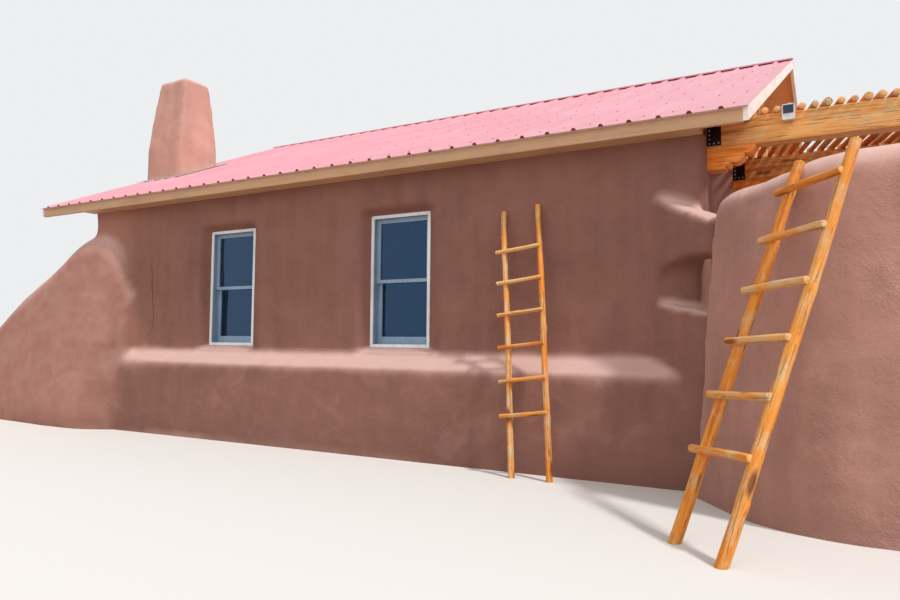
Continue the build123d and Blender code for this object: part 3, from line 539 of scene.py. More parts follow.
def level_cut(mesh, height, keep_above):
    """Cuts a mesh level at a height and closes the cut, with a crisp rim."""
    shape = bmesh.new()
    shape.from_mesh(mesh)
    everything = shape.verts[:] + shape.edges[:] + shape.faces[:]
    cut = bmesh.ops.bisect_plane(
        shape, geom=everything, dist=0.0001, plane_co=(0, 0, height), plane_no=(0, 0, 1),
        clear_inner=keep_above, clear_outer=not keep_above)
    edges = [e for e in cut["geom_cut"] if isinstance(e, bmesh.types.BMEdge)]
    for edge in edges:
        edge.smooth = False
    bmesh.ops.triangle_fill(shape, edges=edges, use_beauty=False)
    shape.to_mesh(mesh)
    shape.free()


def softened(mesh, rounds, weight):
    """Rounds a mesh by moving each vertex towards its neighbours, by its own weight."""
    points = points_of(mesh)
    edges = np.zeros(len(mesh.edges) * 2, int)
    mesh.edges.foreach_get("vertices", edges)
    edges = edges.reshape(-1, 2)
    ends, others = edges.T.ravel(), edges.T[::-1].ravel()
    valence = np.bincount(ends, minlength=len(points))[:, None]
    strength = weight(points)[:, None]
    for _ in range(rounds):
        total = np.stack([np.bincount(ends, points[others, axis], len(points)) for axis in range(3)], 1)
        points += (total / np.maximum(valence, 1) - points) * strength * 0.6
    move_points(mesh, points)


def undulated(mesh, layers, weight):
    """Moves vertices along their normals by layers of noise: (waves per metre, amplitude)."""
    points = points_of(mesh)
    normals = np.zeros(points.size)
    mesh.vertex_normals.foreach_get("vector", normals)
    amount = np.zeros(len(points))
    for index, (waves, amplitude) in enumerate(layers):
        shift = Vector((11.3 * index, 7.1 * index, 3.7 * index))
        amount += amplitude * np.array([noise.noise(Vector(p) * waves + shift) for p in points])
    points += normals.reshape(-1, 3) * (amount * weight(points))[:, None]
    move_points(mesh, points)


def splayed(mesh):
    """Eases the plaster round each window back to just behind the front of its frame, in a wide
    bevel on the side away from the chimney and a narrow one on the other three."""
    points = points_of(mesh)
    for name in NODES:
        if not name.endswith("window_frame"):
            continue
        low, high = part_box(name)
        side = 1 if name.startswith("back") else -1
        # Looking at the wall from outside, along runs to the right
        along = -side * points[:, 0]
        left, right = sorted((-side * low.x, -side * high.x))
        beside = np.where(along > right, (along - right) / WIDE_SPLAY, (left - along) / NARROW_SPLAY)
        above = np.maximum(points[:, 2] - high.z, low.z - points[:, 2]) / NARROW_SPLAY
        reach = np.clip(np.hypot(np.maximum(beside, 0), np.maximum(above, 0)), 0, 1)
        front = max(high.y, -low.y) - FRAME_PROUD
        surface = front + (HALF_DEPTH - front) * np.sin(reach * math.pi / 2)
        depth = side * points[:, 1]
        near = (reach < 1) & (depth > front - 0.1) & (depth > surface)
        points[near, 1] = side * surface[near]
    move_points(mesh, points)


def along_patio(points):
    return (points - np.array(PATIO_START)) @ np.array(PATIO_LINE)


def dipped(mesh):
    """Lets the top of the patio wall sag towards its start, most beside the ladder."""
    points = points_of(mesh)
    share = fade(points[:, 2], DIP_FROM, PATIO_TOP)
    points[:, 2] -= np.interp(along_patio(points), *zip(*TOP_DIP)) * share * share * (3 - 2 * share)
    move_points(mesh, points)


# Weights: how far each point of the plaster may move, from 0 to 1
def fade(values, none_at, full_at):
    return np.clip((values - none_at) / (full_at - none_at), 0, 1)


def foot_weight(points):
    """None at the ground, full from 50 mm above it."""
    return fade(points[:, 2], 0, 0.05)


def opening_weight(points):
    """None at window and door frames, so that the plaster meets them cleanly."""
    free = np.ones(len(points))
    for name in [n for n in NODES if n.endswith("window_frame")] + ["door_frame"]:
        low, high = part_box(name)
        gap = np.maximum(np.maximum(np.array(low) - points, points - np.array(high)), 0)
        free = np.minimum(free, fade(np.linalg.norm(gap, axis=1), 0.012, 0.072))
    return free


def house_weight(points):
    """Full on open faces, none at the wall head, at the ground and at the openings."""
    head = fade(points[:, 2], WALL_TOP - 0.04, WALL_TOP - 0.14)
    outside = (points[:, 0] < -HALF_LENGTH - 0.1) | (points[:, 1] < -HALF_DEPTH - 0.12)
    return opening_weight(points) * np.where(outside, 1, head) * foot_weight(points)


def joined_weight(points):
    """Full where the buttress and the low wall grow out of the front wall, none elsewhere."""
    front = fade(points[:, 1], -HALF_DEPTH + 0.06, -HALF_DEPTH + 0.01)
    buttress = fade(points[:, 0], BUTTRESS_END + 0.5, BUTTRESS_END + 0.25)
    wing = fade(points[:, 0], WING_START, WING_START + 0.25) * fade(points[:, 2], 1.95, 2.05)
    return house_weight(points) * front * np.maximum(buttress, 0.6 * wing)


def patio_start_weight(points):
    """Full on the top of the patio wall where it starts."""
    return fade(along_patio(points), 0.49, 0.14) * fade(points[:, 2], 1.93, 2.05)


def crack_in(mesh):
    """A hairline crack along its path on the front wall: a sliver let into the plaster."""
    polygons = [tuple(p.vertices) for p in mesh.polygons]
    surface = BVHTree.FromPolygons([v.co for v in mesh.vertices], polygons)
    spots = []
    for (x0, z0), (x1, z1) in zip(CRACK, CRACK[1:]):
        parts = max(1, int(math.dist((x0, z0), (x1, z1)) / CRACK_STEP))
        spots += [(x0 + (x1 - x0) * i / parts, z0 + (z1 - z0) * i / parts) for i in range(parts)]
    points = []
    for index, (x, z) in enumerate(spots):
        x += 0.009 * noise.noise(Vector((z * 16, 0.5, 0))) + 0.005 * noise.noise(Vector((z * 55, 3.5, 0)))
        half = CRACK_WIDTH * math.sqrt(max(0.02, math.sin(math.pi * index / (len(spots) - 1)))) / 2
        half *= 1 + 0.5 * noise.noise(Vector((z * 30, 7.5, 0)))
        y = surface.ray_cast(Vector((x, -HALF_DEPTH - 0.3, z)), Vector((0, 1, 0)))[0].y
        points += [(x - half, y - 0.0008, z), (x + half, y - 0.0008, z), (x, y + CRACK_DEPTH, z)]
    shape = Shape()
    shape.add(points, flipped(tube(len(spots), 3)))
    return shape.mesh("stucco_crack")


# Settings
def colour_property(name, description, hex_colour):
    return bpy.props.FloatVectorProperty(
        name=name, description=description, default=linear(hex_colour), subtype="COLOR", size=4, min=0, max=1)


class AdobeFinishes(bpy.types.PropertyGroup):
    # The house stucco is written darker than the patio and chimney stucco, as painted shade of the eave and
    # trees; the patio and chimney stucco are written paler, as painted sunlight
    stucco: colour_property("Stucco", "Colour of the dry stucco on the house", "#91675b")
    patio: colour_property("Patio stucco", "Colour of the weathered stucco on the patio wall", "#b88a7d")
    chimney: colour_property("Chimney stucco", "Colour of the sun-bleached chimney", "#cb9a8b")
    roof: colour_property("Roof enamel", "Colour of the ribbed roof sheets", "#d7959f")
    roof_chalk: colour_property("Roof chalk", "Colour where the enamel has chalked", "#e0aab4")
    fascia: colour_property("Fascia paint", "Colour of the fascia and soffit boards", "#cba37c")
    barge: colour_property("Barge paint", "Colour of the barge boards and drip strip", "#f4ece4")
    gable: colour_property("Gable paint", "Colour of the gable boards", "#e2a268")
    trim: colour_property("Window trim", "Colour of the outer edge of the window frames", "#edf3f9")
    # Darker than the trim: painted shade in the window recess
    jamb: colour_property("Window jamb", "Colour of the deeper part of the window frames", "#7f96ab")
    sash: colour_property("Sash paint", "Colour of the window sashes", "#8fa8c0")
    glass: colour_property("Glass", "Tint of the window glass", "#6fa5cc")
    steel: colour_property("Strap steel", "Colour of the blackened plates", "#2e2420")


def length_property(name, description, default, low, high):
    return bpy.props.FloatProperty(
        name=name, description=description, default=default, min=low, max=high, unit="LENGTH")


class AdobeSizes(bpy.types.PropertyGroup):
    house_voxel: length_property(
        "House mesh", "Edge length of the plaster mesh on the house", 0.034, 0.02, 0.1)
    patio_voxel: length_property(
        "Patio wall mesh", "Edge length of the plaster mesh on the patio wall", 0.022, 0.015, 0.1)
    chimney_voxel: length_property(
        "Chimney mesh", "Edge length of the plaster mesh on the chimney", 0.03, 0.015, 0.1)
    wave: length_property("Wall wave", "How far the hand-laid walls wander from flat", 0.014, 0, 0.03)
    pole_wobble: length_property("Pole bend", "How far a peeled pole wanders from straight", 0.01, 0, 0.03)


# Operators
class ADOBE_OT_house_plaster(bpy.types.Operator):
    """Plaster on the house walls, the stepped base, the buttress and the low wall"""

    bl_idname = "adobe.house_plaster"
    bl_label = "House plaster"

    def execute(self, context):
        finishes, sizes = context.scene.adobe_finishes, context.scene.adobe_sizes
        nodes = ["front_wall", "back_wall", "left_wall", "right_wall", "front_banco", "left_buttress",
                 "wing_wall"]
        mesh = remeshed(nodes, sizes.house_voxel, WALL_TOP)
        level_cut(mesh, 0, True)
        level_cut(mesh, WALL_TOP, False)
        softened(mesh, 2, house_weight)
        softened(mesh, 9, joined_weight)
        splayed(mesh)
        wave = sizes.wave
        undulated(mesh, [(0.8, wave), (2.6, wave * 0.45), (8.5, wave * 0.14)], house_weight)

        def hidden(points):
            inside = (abs(points[:, 0]) < HALF_LENGTH - 0.2) & (abs(points[:, 1]) < HALF_DEPTH - 0.2)
            return inside | ((points[:, 1] > HALF_DEPTH - 1.5) & (points[:, 2] > 0.05))

        # Under half of the triangles are enough indoors and at the back
        mesh = modified(mesh, "DECIMATE", hidden, ratio=0.45)
        mesh.shade_smooth()
        material = stucco("hand-floated lime stucco", finishes.stucco, 0, painted_sunlight_before=BUTTRESS_END)
        add_piece("house_plaster", mesh, material, nodes)
        gap = stucco("open crack in the stucco", linear("#6b382d"), 1)
        add_piece("stucco_crack", crack_in(mesh), gap)
        return {"FINISHED"}


class ADOBE_OT_patio_plaster(bpy.types.Operator):
    """Weathered plaster on the rounded patio wall"""

    bl_idname = "adobe.patio_plaster"
    bl_label = "Patio wall plaster"

    def execute(self, context):
        finishes, sizes = context.scene.adobe_finishes, context.scene.adobe_sizes
        nodes = ["patio_wall_straight", "patio_wall_bend", "patio_wall_run"]
        mesh = remeshed(nodes, sizes.patio_voxel)
        level_cut(mesh, 0, True)
        softened(mesh, 5, foot_weight)
        softened(mesh, 16, patio_start_weight)
        dipped(mesh)
        wave = sizes.wave
        layers = [(0.7, wave * 1.3), (2.4, wave * 0.6), (9.0, wave * 0.22), (22.0, wave * 0.09)]
        undulated(mesh, layers, foot_weight)
        mesh.shade_smooth()
        add_piece("patio_plaster", mesh, stucco("weathered lime stucco", finishes.patio, 1), nodes)
        return {"FINISHED"}


class ADOBE_OT_chimney(bpy.types.Operator):
    """Plastered chimney stack and its sheet flashing"""

    bl_idname = "adobe.chimney"
    bl_label = "Chimney"

    def execute(self, context):
        finishes, sizes = context.scene.adobe_finishes, context.scene.adobe_sizes
        mesh = remeshed(["chimney_stack"], sizes.chimney_voxel)
        level_cut(mesh, 0, True)
        softened(mesh, 4, foot_weight)
        undulated(mesh, [(1.1, sizes.wave * 0.7), (4.0, sizes.wave * 0.35)], foot_weight)
        mesh.shade_smooth()
        material = stucco("chimney stucco", finishes.chimney, 0.4)
        add_piece("chimney_plaster", mesh, material, ["chimney_stack"])
        dress(bare_steel("galvanised flashing", linear("#cfd2d4"), 0.45), "chimney_flashing")
        return {"FINISHED"}


SCREW_ROWS = 6
FIRST_SCREW_ROW = 0.28
SCREW_ROW_PITCH = 0.79
SCREW_BESIDE_RIB = 0.055
# Turned outlines, as radius and height, and the cap's hem, as distances out and up
WASHER = ((0.0085, 0), (0.0085, 0.0015), (0.006, 0.0025))
SCREW_HEAD = ((0.0048, 0.0025), (0.0048, 0.007), (0.003, 0.008))
CAP_HEM = ((-0.006, -0.004), (0.002, -0.006), (0.006, 0.0), (0.006, 0.01), (0.001, 0.015), (-0.006, 0.012))
# The hollow of a rib, as half widths across and heights, and the sheet's lap over the fascia
RIB_HOLLOW = ((-0.0225, 0), (0.0225, 0), (0.0105, 0.0195), (-0.0105, 0.0195))
SHEET_LAP = 0.028


def roof_height(distance):
    """The height of the roof's underside at a distance from the ridge line."""
    return EAVE_TOP + ROOF_SLOPE * (FASCIA_FACE - distance)


class ADOBE_OT_roof(bpy.types.Operator):
    """Enamelled roof sheets and cap, with their screws, hems and rib closures"""

    bl_idname = "adobe.roof"
    bl_label = "Roof"

    def execute(self, context):
        finishes = context.scene.adobe_finishes
        enamel = enamelled_steel("faded roof enamel", finishes.roof, finishes.roof_chalk)
        dress(enamel, "front_roof_sheet", "back_roof_sheet", "ridge_cap")
        count = int((ROOF_RIGHT - ROOF_LEFT) // RIB_PITCH)
        first = (ROOF_LEFT + ROOF_RIGHT) / 2 - RIB_PITCH * (count - 1) / 2
        ribs = [first + index * RIB_PITCH for index in range(count)]
        chimney_low, chimney_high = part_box("chimney_flashing")
        cap_low, cap_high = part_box("ridge_cap")
        screws, closures, hems = Shape(), Shape(), Shape()
        for side in (-1, 1):
            normal = Vector((0, side * ROOF_SLOPE, 1))
            for row in range(SCREW_ROWS):
                distance = FIRST_SCREW_ROW + row * SCREW_ROW_PITCH
                height = roof_height(distance) + SHEET * SLOPE_STRETCH
                for rib in ribs:
                    x, y = rib + SCREW_BESIDE_RIB, side * distance
                    if side < 0 and x < chimney_high.x and chimney_low.y < y < chimney_high.y:
                        continue
                    add_disc(screws, (x, y, height), normal, WASHER, 10)
                    add_disc(screws, (x, y, height), normal, SCREW_HEAD, 6)
            for rib in ribs:
                points = [(rib + across, side * distance, roof_height(distance) + up * SLOPE_STRETCH)
                          for distance in (FASCIA_FACE + SHEET_LAP, FASCIA_FACE) for across, up in RIB_HOLLOW]
                closures.add(points, tube(2, 4) if side < 0 else flipped(tube(2, 4)))
            hem = [(side * (cap_high.y + out), cap_low.z + up) for out, up in CAP_HEM]
            add_prism(hems, hem, ROOF_LEFT, ROOF_RIGHT)
        # Real foam closures, but their dark colour is painted shade in the ends of the rib hollows
        foam_and_painted_shade = moulded_plastic("foam rib closures", linear("#8a4c48"), 0.8)
        add_piece("rib_closures", closures.mesh("rib_closures"), foam_and_painted_shade)
        add_piece("cap_hems", hems.mesh("cap_hems"), enamel)
        heads = enamelled_steel("enamelled screw heads", linear("#a85f6a"), linear("#bd7a84"))
        add_piece("roof_screws", screws.mesh("roof_screws", 40), heads)
        return {"FINISHED"}


SAWN_PINE = ("#7c5a38", "#b58c5c", "#d2ae7e", "#b8a184")
FASCIA_EASE = 0.004
FASCIA_GAP = 0.002
SOFFIT_GAP = 0.004
FASCIA_JOINTS = (0, 0.36, 0.71, 1)
DRIP_THICKNESS = 0.0025
DRIP_TOP, DRIP_BOTTOM = EAVE_TOP - 0.001, EAVE_TOP - 0.014


class ADOBE_OT_eaves(bpy.types.Operator):
    """Painted fascia, soffit, barge boards and gables, roof timbers and drip strips"""

    bl_idname = "adobe.eaves"
    bl_label = "Eaves and gables"

    def execute(self, context):
        finishes = context.scene.adobe_finishes
        barge = painted_pine("barge paint on pine", finishes.barge, 1)
        dress(barge, "left_barge_boards", "right_barge_boards")
        dress(painted_pine("gable paint on pine", finishes.gable, 2), "left_gable", "right_gable")
        dress(weathered_timber("sawn roof pine", SAWN_PINE, 0), "ridge_board")
        dress(painted_pine("deck board paint", finishes.gable, 0), "front_roof_boards", "back_roof_boards")
        dress(weathered_timber("sawn rafter pine", SAWN_PINE, 1), "rafters", "ceiling_ties")
        fascia = painted_pine("fascia board paint", finishes.fascia, 0)
        strips = Shape()
        bottom = WALL_TOP - SOFFIT
        left, right = ROOF_LEFT + BARGE, ROOF_RIGHT - BARGE
        joints = [left + (right - left) * share for share in FASCIA_JOINTS]
        for side, node in ((-1, "front_eave"), (1, "back_eave")):
            boards = Shape()
            face, back = side * FASCIA_FACE, side * (FASCIA_FACE - FASCIA)
            section = [(face, bottom + FASCIA_EASE), (face - side * FASCIA_EASE, bottom), (back, bottom),
                       (back, EAVE_TOP + FASCIA * ROOF_SLOPE), (face, EAVE_TOP)]
            # Lengths of fascia end to end
            for x0, x1 in zip(joints, joints[1:]):
                gap = FASCIA_GAP / 2
                add_prism(boards, section, x0 + gap * (x0 > left), x1 - gap * (x1 < right))
            # Two soffit boards, over the walls only
            wall, middle = side * HALF_DEPTH, side * (HALF_DEPTH + FASCIA_FACE - FASCIA) / 2
            gap = side * SOFFIT_GAP / 2
            for near, far in ((wall, middle - gap), (middle + gap, back)):
                soffit = [(near, bottom), (far, bottom), (far, WALL_TOP), (near, WALL_TOP)]
                add_prism(boards, soffit, -HALF_LENGTH, HALF_LENGTH)
            add_piece(f"{node}_timbers", boards.mesh(node), fascia, [node])
            low, high = sorted((face, face + side * DRIP_THICKNESS))
            add_block(strips, (left, low, DRIP_BOTTOM), (right, high, DRIP_TOP))
        drip = enamelled_steel("drip edge enamel", finishes.barge, shade(finishes.barge, 1.1))
        add_piece("drip_strips", strips.mesh("drip_strips"), drip)
        return {"FINISHED"}


# How far behind the wall's face the white edge of a window frame ends
TRIM_DEPTH = 0.132


class ADOBE_OT_windows(bpy.types.Operator):
    """Painted window frames and sashes, and their panes"""

    bl_idname = "adobe.windows"
    bl_label = "Windows"

    def execute(self, context):
        finishes = context.scene.adobe_finishes
        # The frame's parts deeper than the white edge take the darker jamb colour, painted shade in the
        # recess
        recess_shade = (finishes.jamb, HALF_DEPTH - TRIM_DEPTH)
        trim = painted_pine("window trim enamel", finishes.trim, 2, 0.38, recess_shade)
        sash = painted_pine("sash enamel", finishes.sash, 2, 0.4)
        glass = window_glass("drawn window glass", finishes.glass)
        for part, material in (("frame", trim), ("sashes", sash), ("glass", glass)):
            dress(material, *(f"{wall}_{place}_window_{part}"
                              for wall in ("front", "back") for place in ("left", "right")))
        return {"FINISHED"}


class ADOBE_OT_door_and_floor(bpy.types.Operator):
    """Wooden patio door and the brick floor"""

    bl_idname = "adobe.door_and_floor"
    bl_label = "Door and floor"

    def execute(self, context):
        oiled = ("#6d3f1f", "#a9682f", "#c98b4b", "#b08a60")
        dress(weathered_timber("oiled door pine", oiled, 2, knots=0.6), "door_leaf", "door_frame")
        dress(fired_brick("fired paving brick", linear("#a2563c"), linear("#8c7a68")), "floor_slab")
        return {"FINISHED"}


BEAM_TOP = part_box("pergola_beams")[1].z
BEAM_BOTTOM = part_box("pergola_beams")[0].z
BEAM_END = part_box("pergola_beams")[1].x
BEAM_WIDTH = 0.15
BEAM_PITCH = 1.35
BEAM_COUNT = 3
BEAM_FRONT_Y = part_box("pergola_beams")[0].y
BEAM_EASE = 0.007
BEAM_STATION = 0.04
BEAM_STEP = 0.011
BEAM_CHECK_WIDTH = 0.005
BEAM_CHECK_DEPTH = 0.012
POLE_RADIUS = 0.0262
# Places of the bolts on a strap, from its left bottom corner, and the outline of a bolt's head
STRAP_BOLTS = ((0.02, 0.02), (0.02, 0.055), (0.02, 0.09), (0.02, 0.125), (0.02, 0.16),
               (0.055, 0.02), (0.09, 0.02), (0.09, 0.16))
BOLT_HEAD = ((0.009, 0), (0.009, 0.001), (0.0085, 0.003), (0.0065, 0.005), (0.003, 0.0062), (0.0005, 0.0065))
STRAP_PROUD = 0.006


class ADOBE_OT_pergola(bpy.types.Operator):
    """Weathered beams with worn edges, carved corbels, peeled posts and poles, strap plates"""

    bl_idname = "adobe.pergola"
    bl_label = "Pergola"

    def execute(self, context):
        finishes, sizes = context.scene.adobe_finishes, context.scene.adobe_sizes
        golden = ("#c67630", "#f0a85a", "#fad093", "#bfae86")
        stained = ("#cc5f12", "#fb9026", "#ffb060", "#f5b46c")
        orange = ("#a5501a", "#e5822c", "#f4aa5a", "#c9b08a")
        beam = weathered_timber("weathered beam pine", golden, checks=0.7)
        carved = weathered_timber("carved corbel pine", stained, 0, knots=0.5, checks=0.5)
        peeled = weathered_timber("peeled pole pine", orange, knots=0.8, checks=0.7)
        dress(carved, "wall_corbels", "post_corbels")
        beams, posts, bolts = Shape(), Shape(), Shape()
        low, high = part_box("pergola_posts")
        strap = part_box("strap_plates")[0]
        x, radius = (low.x + high.x) / 2, (high.x - low.x) / 2
        for index in range(BEAM_COUNT):
            front = BEAM_FRONT_Y + index * BEAM_PITCH
            y = front + BEAM_WIDTH / 2
            self.add_beam(beams, y, index)
            add_pole(posts, (x, y, low.z), (x, y, high.z - 0.001), radius, 900 + index, 0.04, 0.008, 0.04, 28)
            for along, up in STRAP_BOLTS:
                place = (strap.x + along, front - STRAP_PROUD, strap.z + up)
                add_disc(bolts, place, (0, -1, 0), BOLT_HEAD, 14)
        add_piece("beam_timbers", beams.mesh("beam_timbers", 50), beam, ["pergola_beams"])
        add_piece("peeled_posts", posts.mesh("peeled_posts", 50), peeled, ["pergola_posts"])
        for number in (1, 2):
            node = f"pergola_poles_{number}"
            layer = self.pole_layer(node, number, sizes.pole_wobble)
            add_piece(f"peeled_poles_{number}", layer.mesh(node, 50), peeled, [node])
        dress(bare_steel("blackened strap steel", finishes.steel, 0.5), "strap_plates")
        worn = bare_steel("rubbed bolt steel", linear("#8d867e"), 0.35)
        add_piece("strap_bolts", bolts.mesh("strap_bolts", 40), worn)
        return {"FINISHED"}

    @staticmethod
    def add_beam(shape, y, seed):
        """A sawn beam with eased edges and one long drying crack in its outer face."""
        rng = random.Random(seed)
        half_w, half_h = BEAM_WIDTH / 2, (BEAM_TOP - BEAM_BOTTOM) / 2
        middle = (BEAM_TOP + BEAM_BOTTOM) / 2
        ring = []
        for sy, sz, turn in ((1, -1, -90), (1, 1, 0), (-1, 1, 90), (-1, -1, 180)):
            for k in range(4):
                a = math.radians(turn + 30 * k)
                ring.append((sy * (half_w - BEAM_EASE) + BEAM_EASE * math.cos(a),
                             sz * (half_h - BEAM_EASE) + BEAM_EASE * math.sin(a)))
        outline = []
        for (u0, v0), (u1, v1) in zip(ring, ring[1:] + ring[:1]):
            parts = max(1, int(math.hypot(u1 - u0, v1 - v0) / BEAM_STEP))
            outline += [(u0 + (u1 - u0) * i / parts, v0 + (v1 - v0) * i / parts) for i in range(parts)]
        length = BEAM_END - HALF_LENGTH
        count = int(length / BEAM_STATION)
        crack_z = rng.uniform(-0.02, 0.02)
        points, grain, tints = [], [], []
        for row in range(count + 1):
            x = HALF_LENGTH + length * row / count
            wander = crack_z + 0.018 * noise.noise(Vector((x * 1.3, seed * 9, 2)))
            for u, v in outline:
                dent = 0.0022 * noise.noise(Vector((x, u, v)) * 14 + Vector((0, seed, 0)))
                if abs(u) / half_w > 0.9 and abs(v) / half_h > 0.9:
                    dent -= 0.004 * max(0, noise.noise(Vector((x * 7, u * 30, v * 30 + seed))))
                depth = 0
                if u < -half_w + 0.004:
                    gap = (v - wander) / BEAM_CHECK_WIDTH
                    open_here = max(0, noise.noise(Vector((x * 0.9, 4, seed))) + 0.35)
                    depth = BEAM_CHECK_DEPTH * math.exp(-gap * gap) * min(1, open_here * 1.6)
                shrink = 1 + dent / half_h
                points.append((x, y + u * shrink + depth, middle + v * shrink))
                grain.append((u + seed * 3, v, x))
                # Orange towards the wall and paler towards its open end: painted shade under the eave and
                # painted sunlight beyond it
                tints.append(0.1 + 0.9 * (x - HALF_LENGTH) / length)
        shape.add(points, flipped(tube(count + 1, len(outline))), grain, tints)

    @staticmethod
    def pole_layer(node, number, wobble):
        """One bay of poles, each with its own girth, bend and colour, on the lines of the CAD's."""
        shape = Shape()
        rng = random.Random(40 + number)
        for index, (start, end) in enumerate(solid_lines(NODES[node])):
            radius = rng.uniform(0.025, 0.033)
            lift = Vector((0, 0, radius - POLE_RADIUS))
            seed, taper = 100 * number + index, rng.uniform(0.0, 0.18)
            add_pole(shape, start + lift, end + lift, radius, seed, taper, wobble, 0.08, 12, 0.05)
        return shape


def solid_lines(node):
    """The centre line of each pole of a CAD node: loose parts of the mesh and their long axes."""
    shape = bmesh.new()
    shape.from_mesh(node.data)
    bmesh.ops.remove_doubles(shape, verts=shape.verts, dist=0.0001)
    seen, lines = set(), []
    for vertex in shape.verts:
        if vertex in seen:
            continue
        group, stack = [], [vertex]
        seen.add(vertex)
        while stack:
            here = stack.pop()
            group.append(here.co.copy())
            for edge in here.link_edges:
                other = edge.other_vert(here)
                if other not in seen:
                    seen.add(other)
                    stack.append(other)
        points = np.array(group)
        centre = points.mean(0)
        axis = np.linalg.svd(points - centre)[2][0]
        if axis[1] < 0:
            axis = -axis
        reach = (points - centre) @ axis
        lines.append((Vector(centre + axis * reach.min()), Vector(centre + axis * reach.max())))
    shape.free()
    return lines


# Each ladder: foot, direction along the rungs, direction up the rails, rail length, distance
# between the rails, rail and rung radius, height of the first rung up the rail and rung spacing
LADDERS = {
    "wall_ladder": (Vector((2.59, -4.77125, 0)), Vector((0.991445, 0.027138, 0.127674)),
                    Vector((-0.130526, 0.206133, 0.969779)), 2.310, 0.320, 0.026, 0.018, 0.510, 0.284),
    "patio_ladder": (Vector((4.09686, -6.13518, 0)), Vector((0.687369, -0.724964, 0.044164)),
                     Vector((0.255853, 0.298597, 0.919445)), 2.35764, 0.428, 0.035, 0.023, 0.527, 0.325),
}
RUNG_COUNT = 6
RUNG_OVERHANG = 0.075
RUNG_LAP = 0.008


class ADOBE_OT_ladders(bpy.types.Operator):
    """Two ladders of peeled poles, with rungs let into the fronts of the rails"""

    bl_idname = "adobe.ladders"
    bl_label = "Ladders"

    def execute(self, context):
        wobble = context.scene.adobe_sizes.pole_wobble
        honey = ("#ad560c", "#e28824", "#f3b35e", "#d8c096")
        peeled = weathered_timber("peeled ladder pine", honey, checks=0.6)
        for number, name in enumerate(LADDERS):
            foot, across, up, length, width, rail, rung, first, step = LADDERS[name]
            shape = Shape()
            for side in (-1, 1):
                # The foot goes on down the rail's line and is cut level at the ground
                middle = foot + across * (side * width / 2)
                start = middle - up * ((middle.z + rail) / up.z)
                seed = 700 + 10 * number + side
                add_pole(shape, start, middle + up * length, rail, seed, 0.1, wobble * 1.2, 0.09, 18, 0.03)
            for row in range(RUNG_COUNT):
                middle = foot + up * (first + step * row) - up.cross(across) * rail
                left = middle - across * (width / 2 + RUNG_OVERHANG)
                right = middle + across * (width / 2 + RUNG_LAP)
                seed = 760 + 10 * number + row
                add_pole(shape, left, right, rung, seed, 0.06, wobble * 0.5, 0.1, 14, 0.025)
            add_piece(f"{name}_poles", shape.mesh(name, 50), peeled, [name])
        return {"FINISHED"}


CELL_MARGIN, CELL_PROUD, CELL_SUNK = 0.008, 0.003, 0.001
# The share of the lamp's height at which the cell starts
CELL_START = 0.4


class ADOBE_OT_lamp(bpy.types.Operator):
    """Small solar lamp on the front beam"""

    bl_idname = "adobe.lamp"
    bl_label = "Lamp"

    def execute(self, context):
        low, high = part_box("beam_lamp")
        dress(moulded_plastic("white moulded plastic", linear("#e8e9ea"), 0.35), "beam_lamp")
        panel = Shape()
        add_block(
            panel, (low.x + CELL_MARGIN, low.y - CELL_PROUD, low.z + (high.z - low.z) * CELL_START),
            (high.x - CELL_MARGIN, low.y + CELL_SUNK, high.z - CELL_MARGIN))
        cell = moulded_plastic("solar cell glass", linear("#10243f"), 0.12)
        add_piece("lamp_panel", panel.mesh("lamp_panel"), cell)
        return {"FINISHED"}


# Each lamp: name, strength, angle in degrees that it fills, and direction towards it
LAMPS = (("high lamp", 2.3, 5, (0.57, -0.13, 0.82)), ("wide front lamp", 0.75, 100, (0.35, -0.85, 0.4)))
FLOOR_RADIUS, FLOOR_SIDES = 90, 64
CAMERA_PLACE = (4.84, -9.965, 1.063)
CAMERA_YAW, CAMERA_PITCH, CAMERA_ROLL = 0.52164, 0.05983, 0.00904
SENSOR_MM, LENS_MM = 36, 28.5


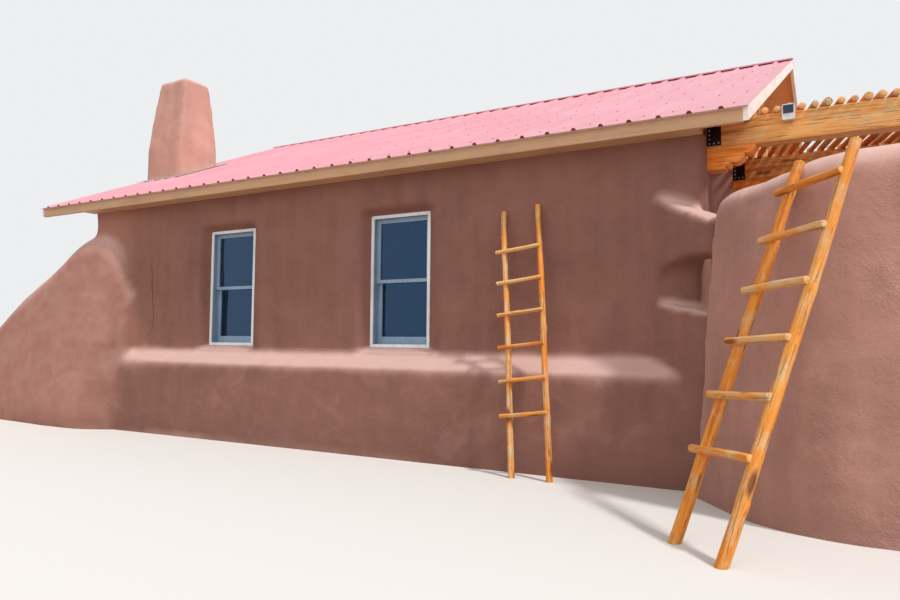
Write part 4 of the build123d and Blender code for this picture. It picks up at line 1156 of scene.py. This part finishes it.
class ADOBE_OT_stage(bpy.types.Operator):
    """Pale floor, soft light and the camera at the photograph's viewpoint"""

    bl_idname = "adobe.stage"
    bl_label = "Stage"

    def execute(self, context):
        context.scene.view_settings.view_transform = "Standard"
        disc = Shape()
        turns = [math.tau * k / FLOOR_SIDES for k in range(FLOOR_SIDES)]
        disc.add([(FLOOR_RADIUS * math.cos(t), FLOOR_RADIUS * math.sin(t), 0) for t in turns],
                 [tuple(range(FLOOR_SIDES))])
        floor = placed("floor", disc.mesh("floor"))
        floor.data.materials.append(self.floor_material())
        self.light(context.scene)
        self.camera(context.scene)
        return {"FINISHED"}

    @staticmethod
    def seen_directly(add):
        """1 for camera, glossy and transmission rays."""
        seen = 0
        for ray in ("Is Camera Ray", "Is Glossy Ray", "Is Transmission Ray"):
            seen = add("Math", add("LightPath", out=ray), seen, operation="MAXIMUM")
        return seen

    def floor_material(self):
        add, join, _ = finish_of("pale studio floor", Roughness=0.9)
        bounced_and_seen = linear("#b09c8e"), linear("#dedad4")
        return join(Base_Color=add("Mix", self.seen_directly(add), *bounced_and_seen, data_type="RGBA"))

    def light(self, scene):
        world = scene.world = bpy.data.worlds.new("soft studio")
        world.use_nodes = True
        add = partial(put, world.node_tree)
        back = world.node_tree.nodes["Background"]
        back.inputs["Color"].default_value = linear("#f2f4f6")
        level = add("MapRange", self.seen_directly(add), 0, 1, 0.72, 0.95)
        world.node_tree.links.new(level, back.inputs["Strength"])
        for name, strength, angle, direction in LAMPS:
            sun = bpy.data.lights.new(name, "SUN")
            sun.energy, sun.angle = strength, math.radians(angle)
            lamp = placed(name, sun)
            lamp.rotation_mode = "QUATERNION"
            lamp.rotation_quaternion = Vector(direction).to_track_quat("Z", "Y")

    @staticmethod
    def camera(scene):
        level = Vector((-math.sin(CAMERA_YAW), math.cos(CAMERA_YAW), 0))
        forward = level * math.cos(CAMERA_PITCH) + UP * math.sin(CAMERA_PITCH)
        right = level.cross(UP)
        up = right.cross(forward)
        c, s = math.cos(CAMERA_ROLL), math.sin(CAMERA_ROLL)
        lens = bpy.data.cameras.new("camera")
        lens.sensor_width, lens.lens = SENSOR_MM, LENS_MM
        scene.camera = placed("camera", lens)
        turn = Matrix((right * c + up * s, up * c - right * s, -forward)).transposed().to_4x4()
        scene.camera.matrix_world = Matrix.Translation(CAMERA_PLACE) @ turn


class ADOBE_PT_panel(bpy.types.Panel):
    """Lists the pieces of the adobe house"""

    bl_idname = "ADOBE_PT_panel"
    bl_label = "Adobe house"
    bl_space_type = "VIEW_3D"
    bl_region_type = "UI"
    bl_category = "Adobe house"

    def draw(self, context):
        for group in (context.scene.adobe_finishes, context.scene.adobe_sizes):
            for key in group.__annotations__:
                self.layout.prop(group, key)
        for operator in OPERATORS:
            self.layout.operator(operator.bl_idname)


OPERATORS = (
    ADOBE_OT_stage, ADOBE_OT_house_plaster, ADOBE_OT_patio_plaster, ADOBE_OT_chimney, ADOBE_OT_roof,
    ADOBE_OT_eaves, ADOBE_OT_windows, ADOBE_OT_door_and_floor, ADOBE_OT_pergola, ADOBE_OT_ladders,
    ADOBE_OT_lamp)
CLASSES = (AdobeFinishes, AdobeSizes) + OPERATORS + (ADOBE_PT_panel,)


def register():
    for cls in CLASSES:
        bpy.utils.register_class(cls)
    bpy.types.Scene.adobe_finishes = bpy.props.PointerProperty(type=AdobeFinishes)
    bpy.types.Scene.adobe_sizes = bpy.props.PointerProperty(type=AdobeSizes)


def unregister():
    del bpy.types.Scene.adobe_sizes
    del bpy.types.Scene.adobe_finishes
    for cls in reversed(CLASSES):
        bpy.utils.unregister_class(cls)


def main():
    register()
    for operator in OPERATORS:
        group, name = operator.bl_idname.split(".")
        getattr(getattr(bpy.ops, group), name)()


if __name__ == "__main__":
    main()
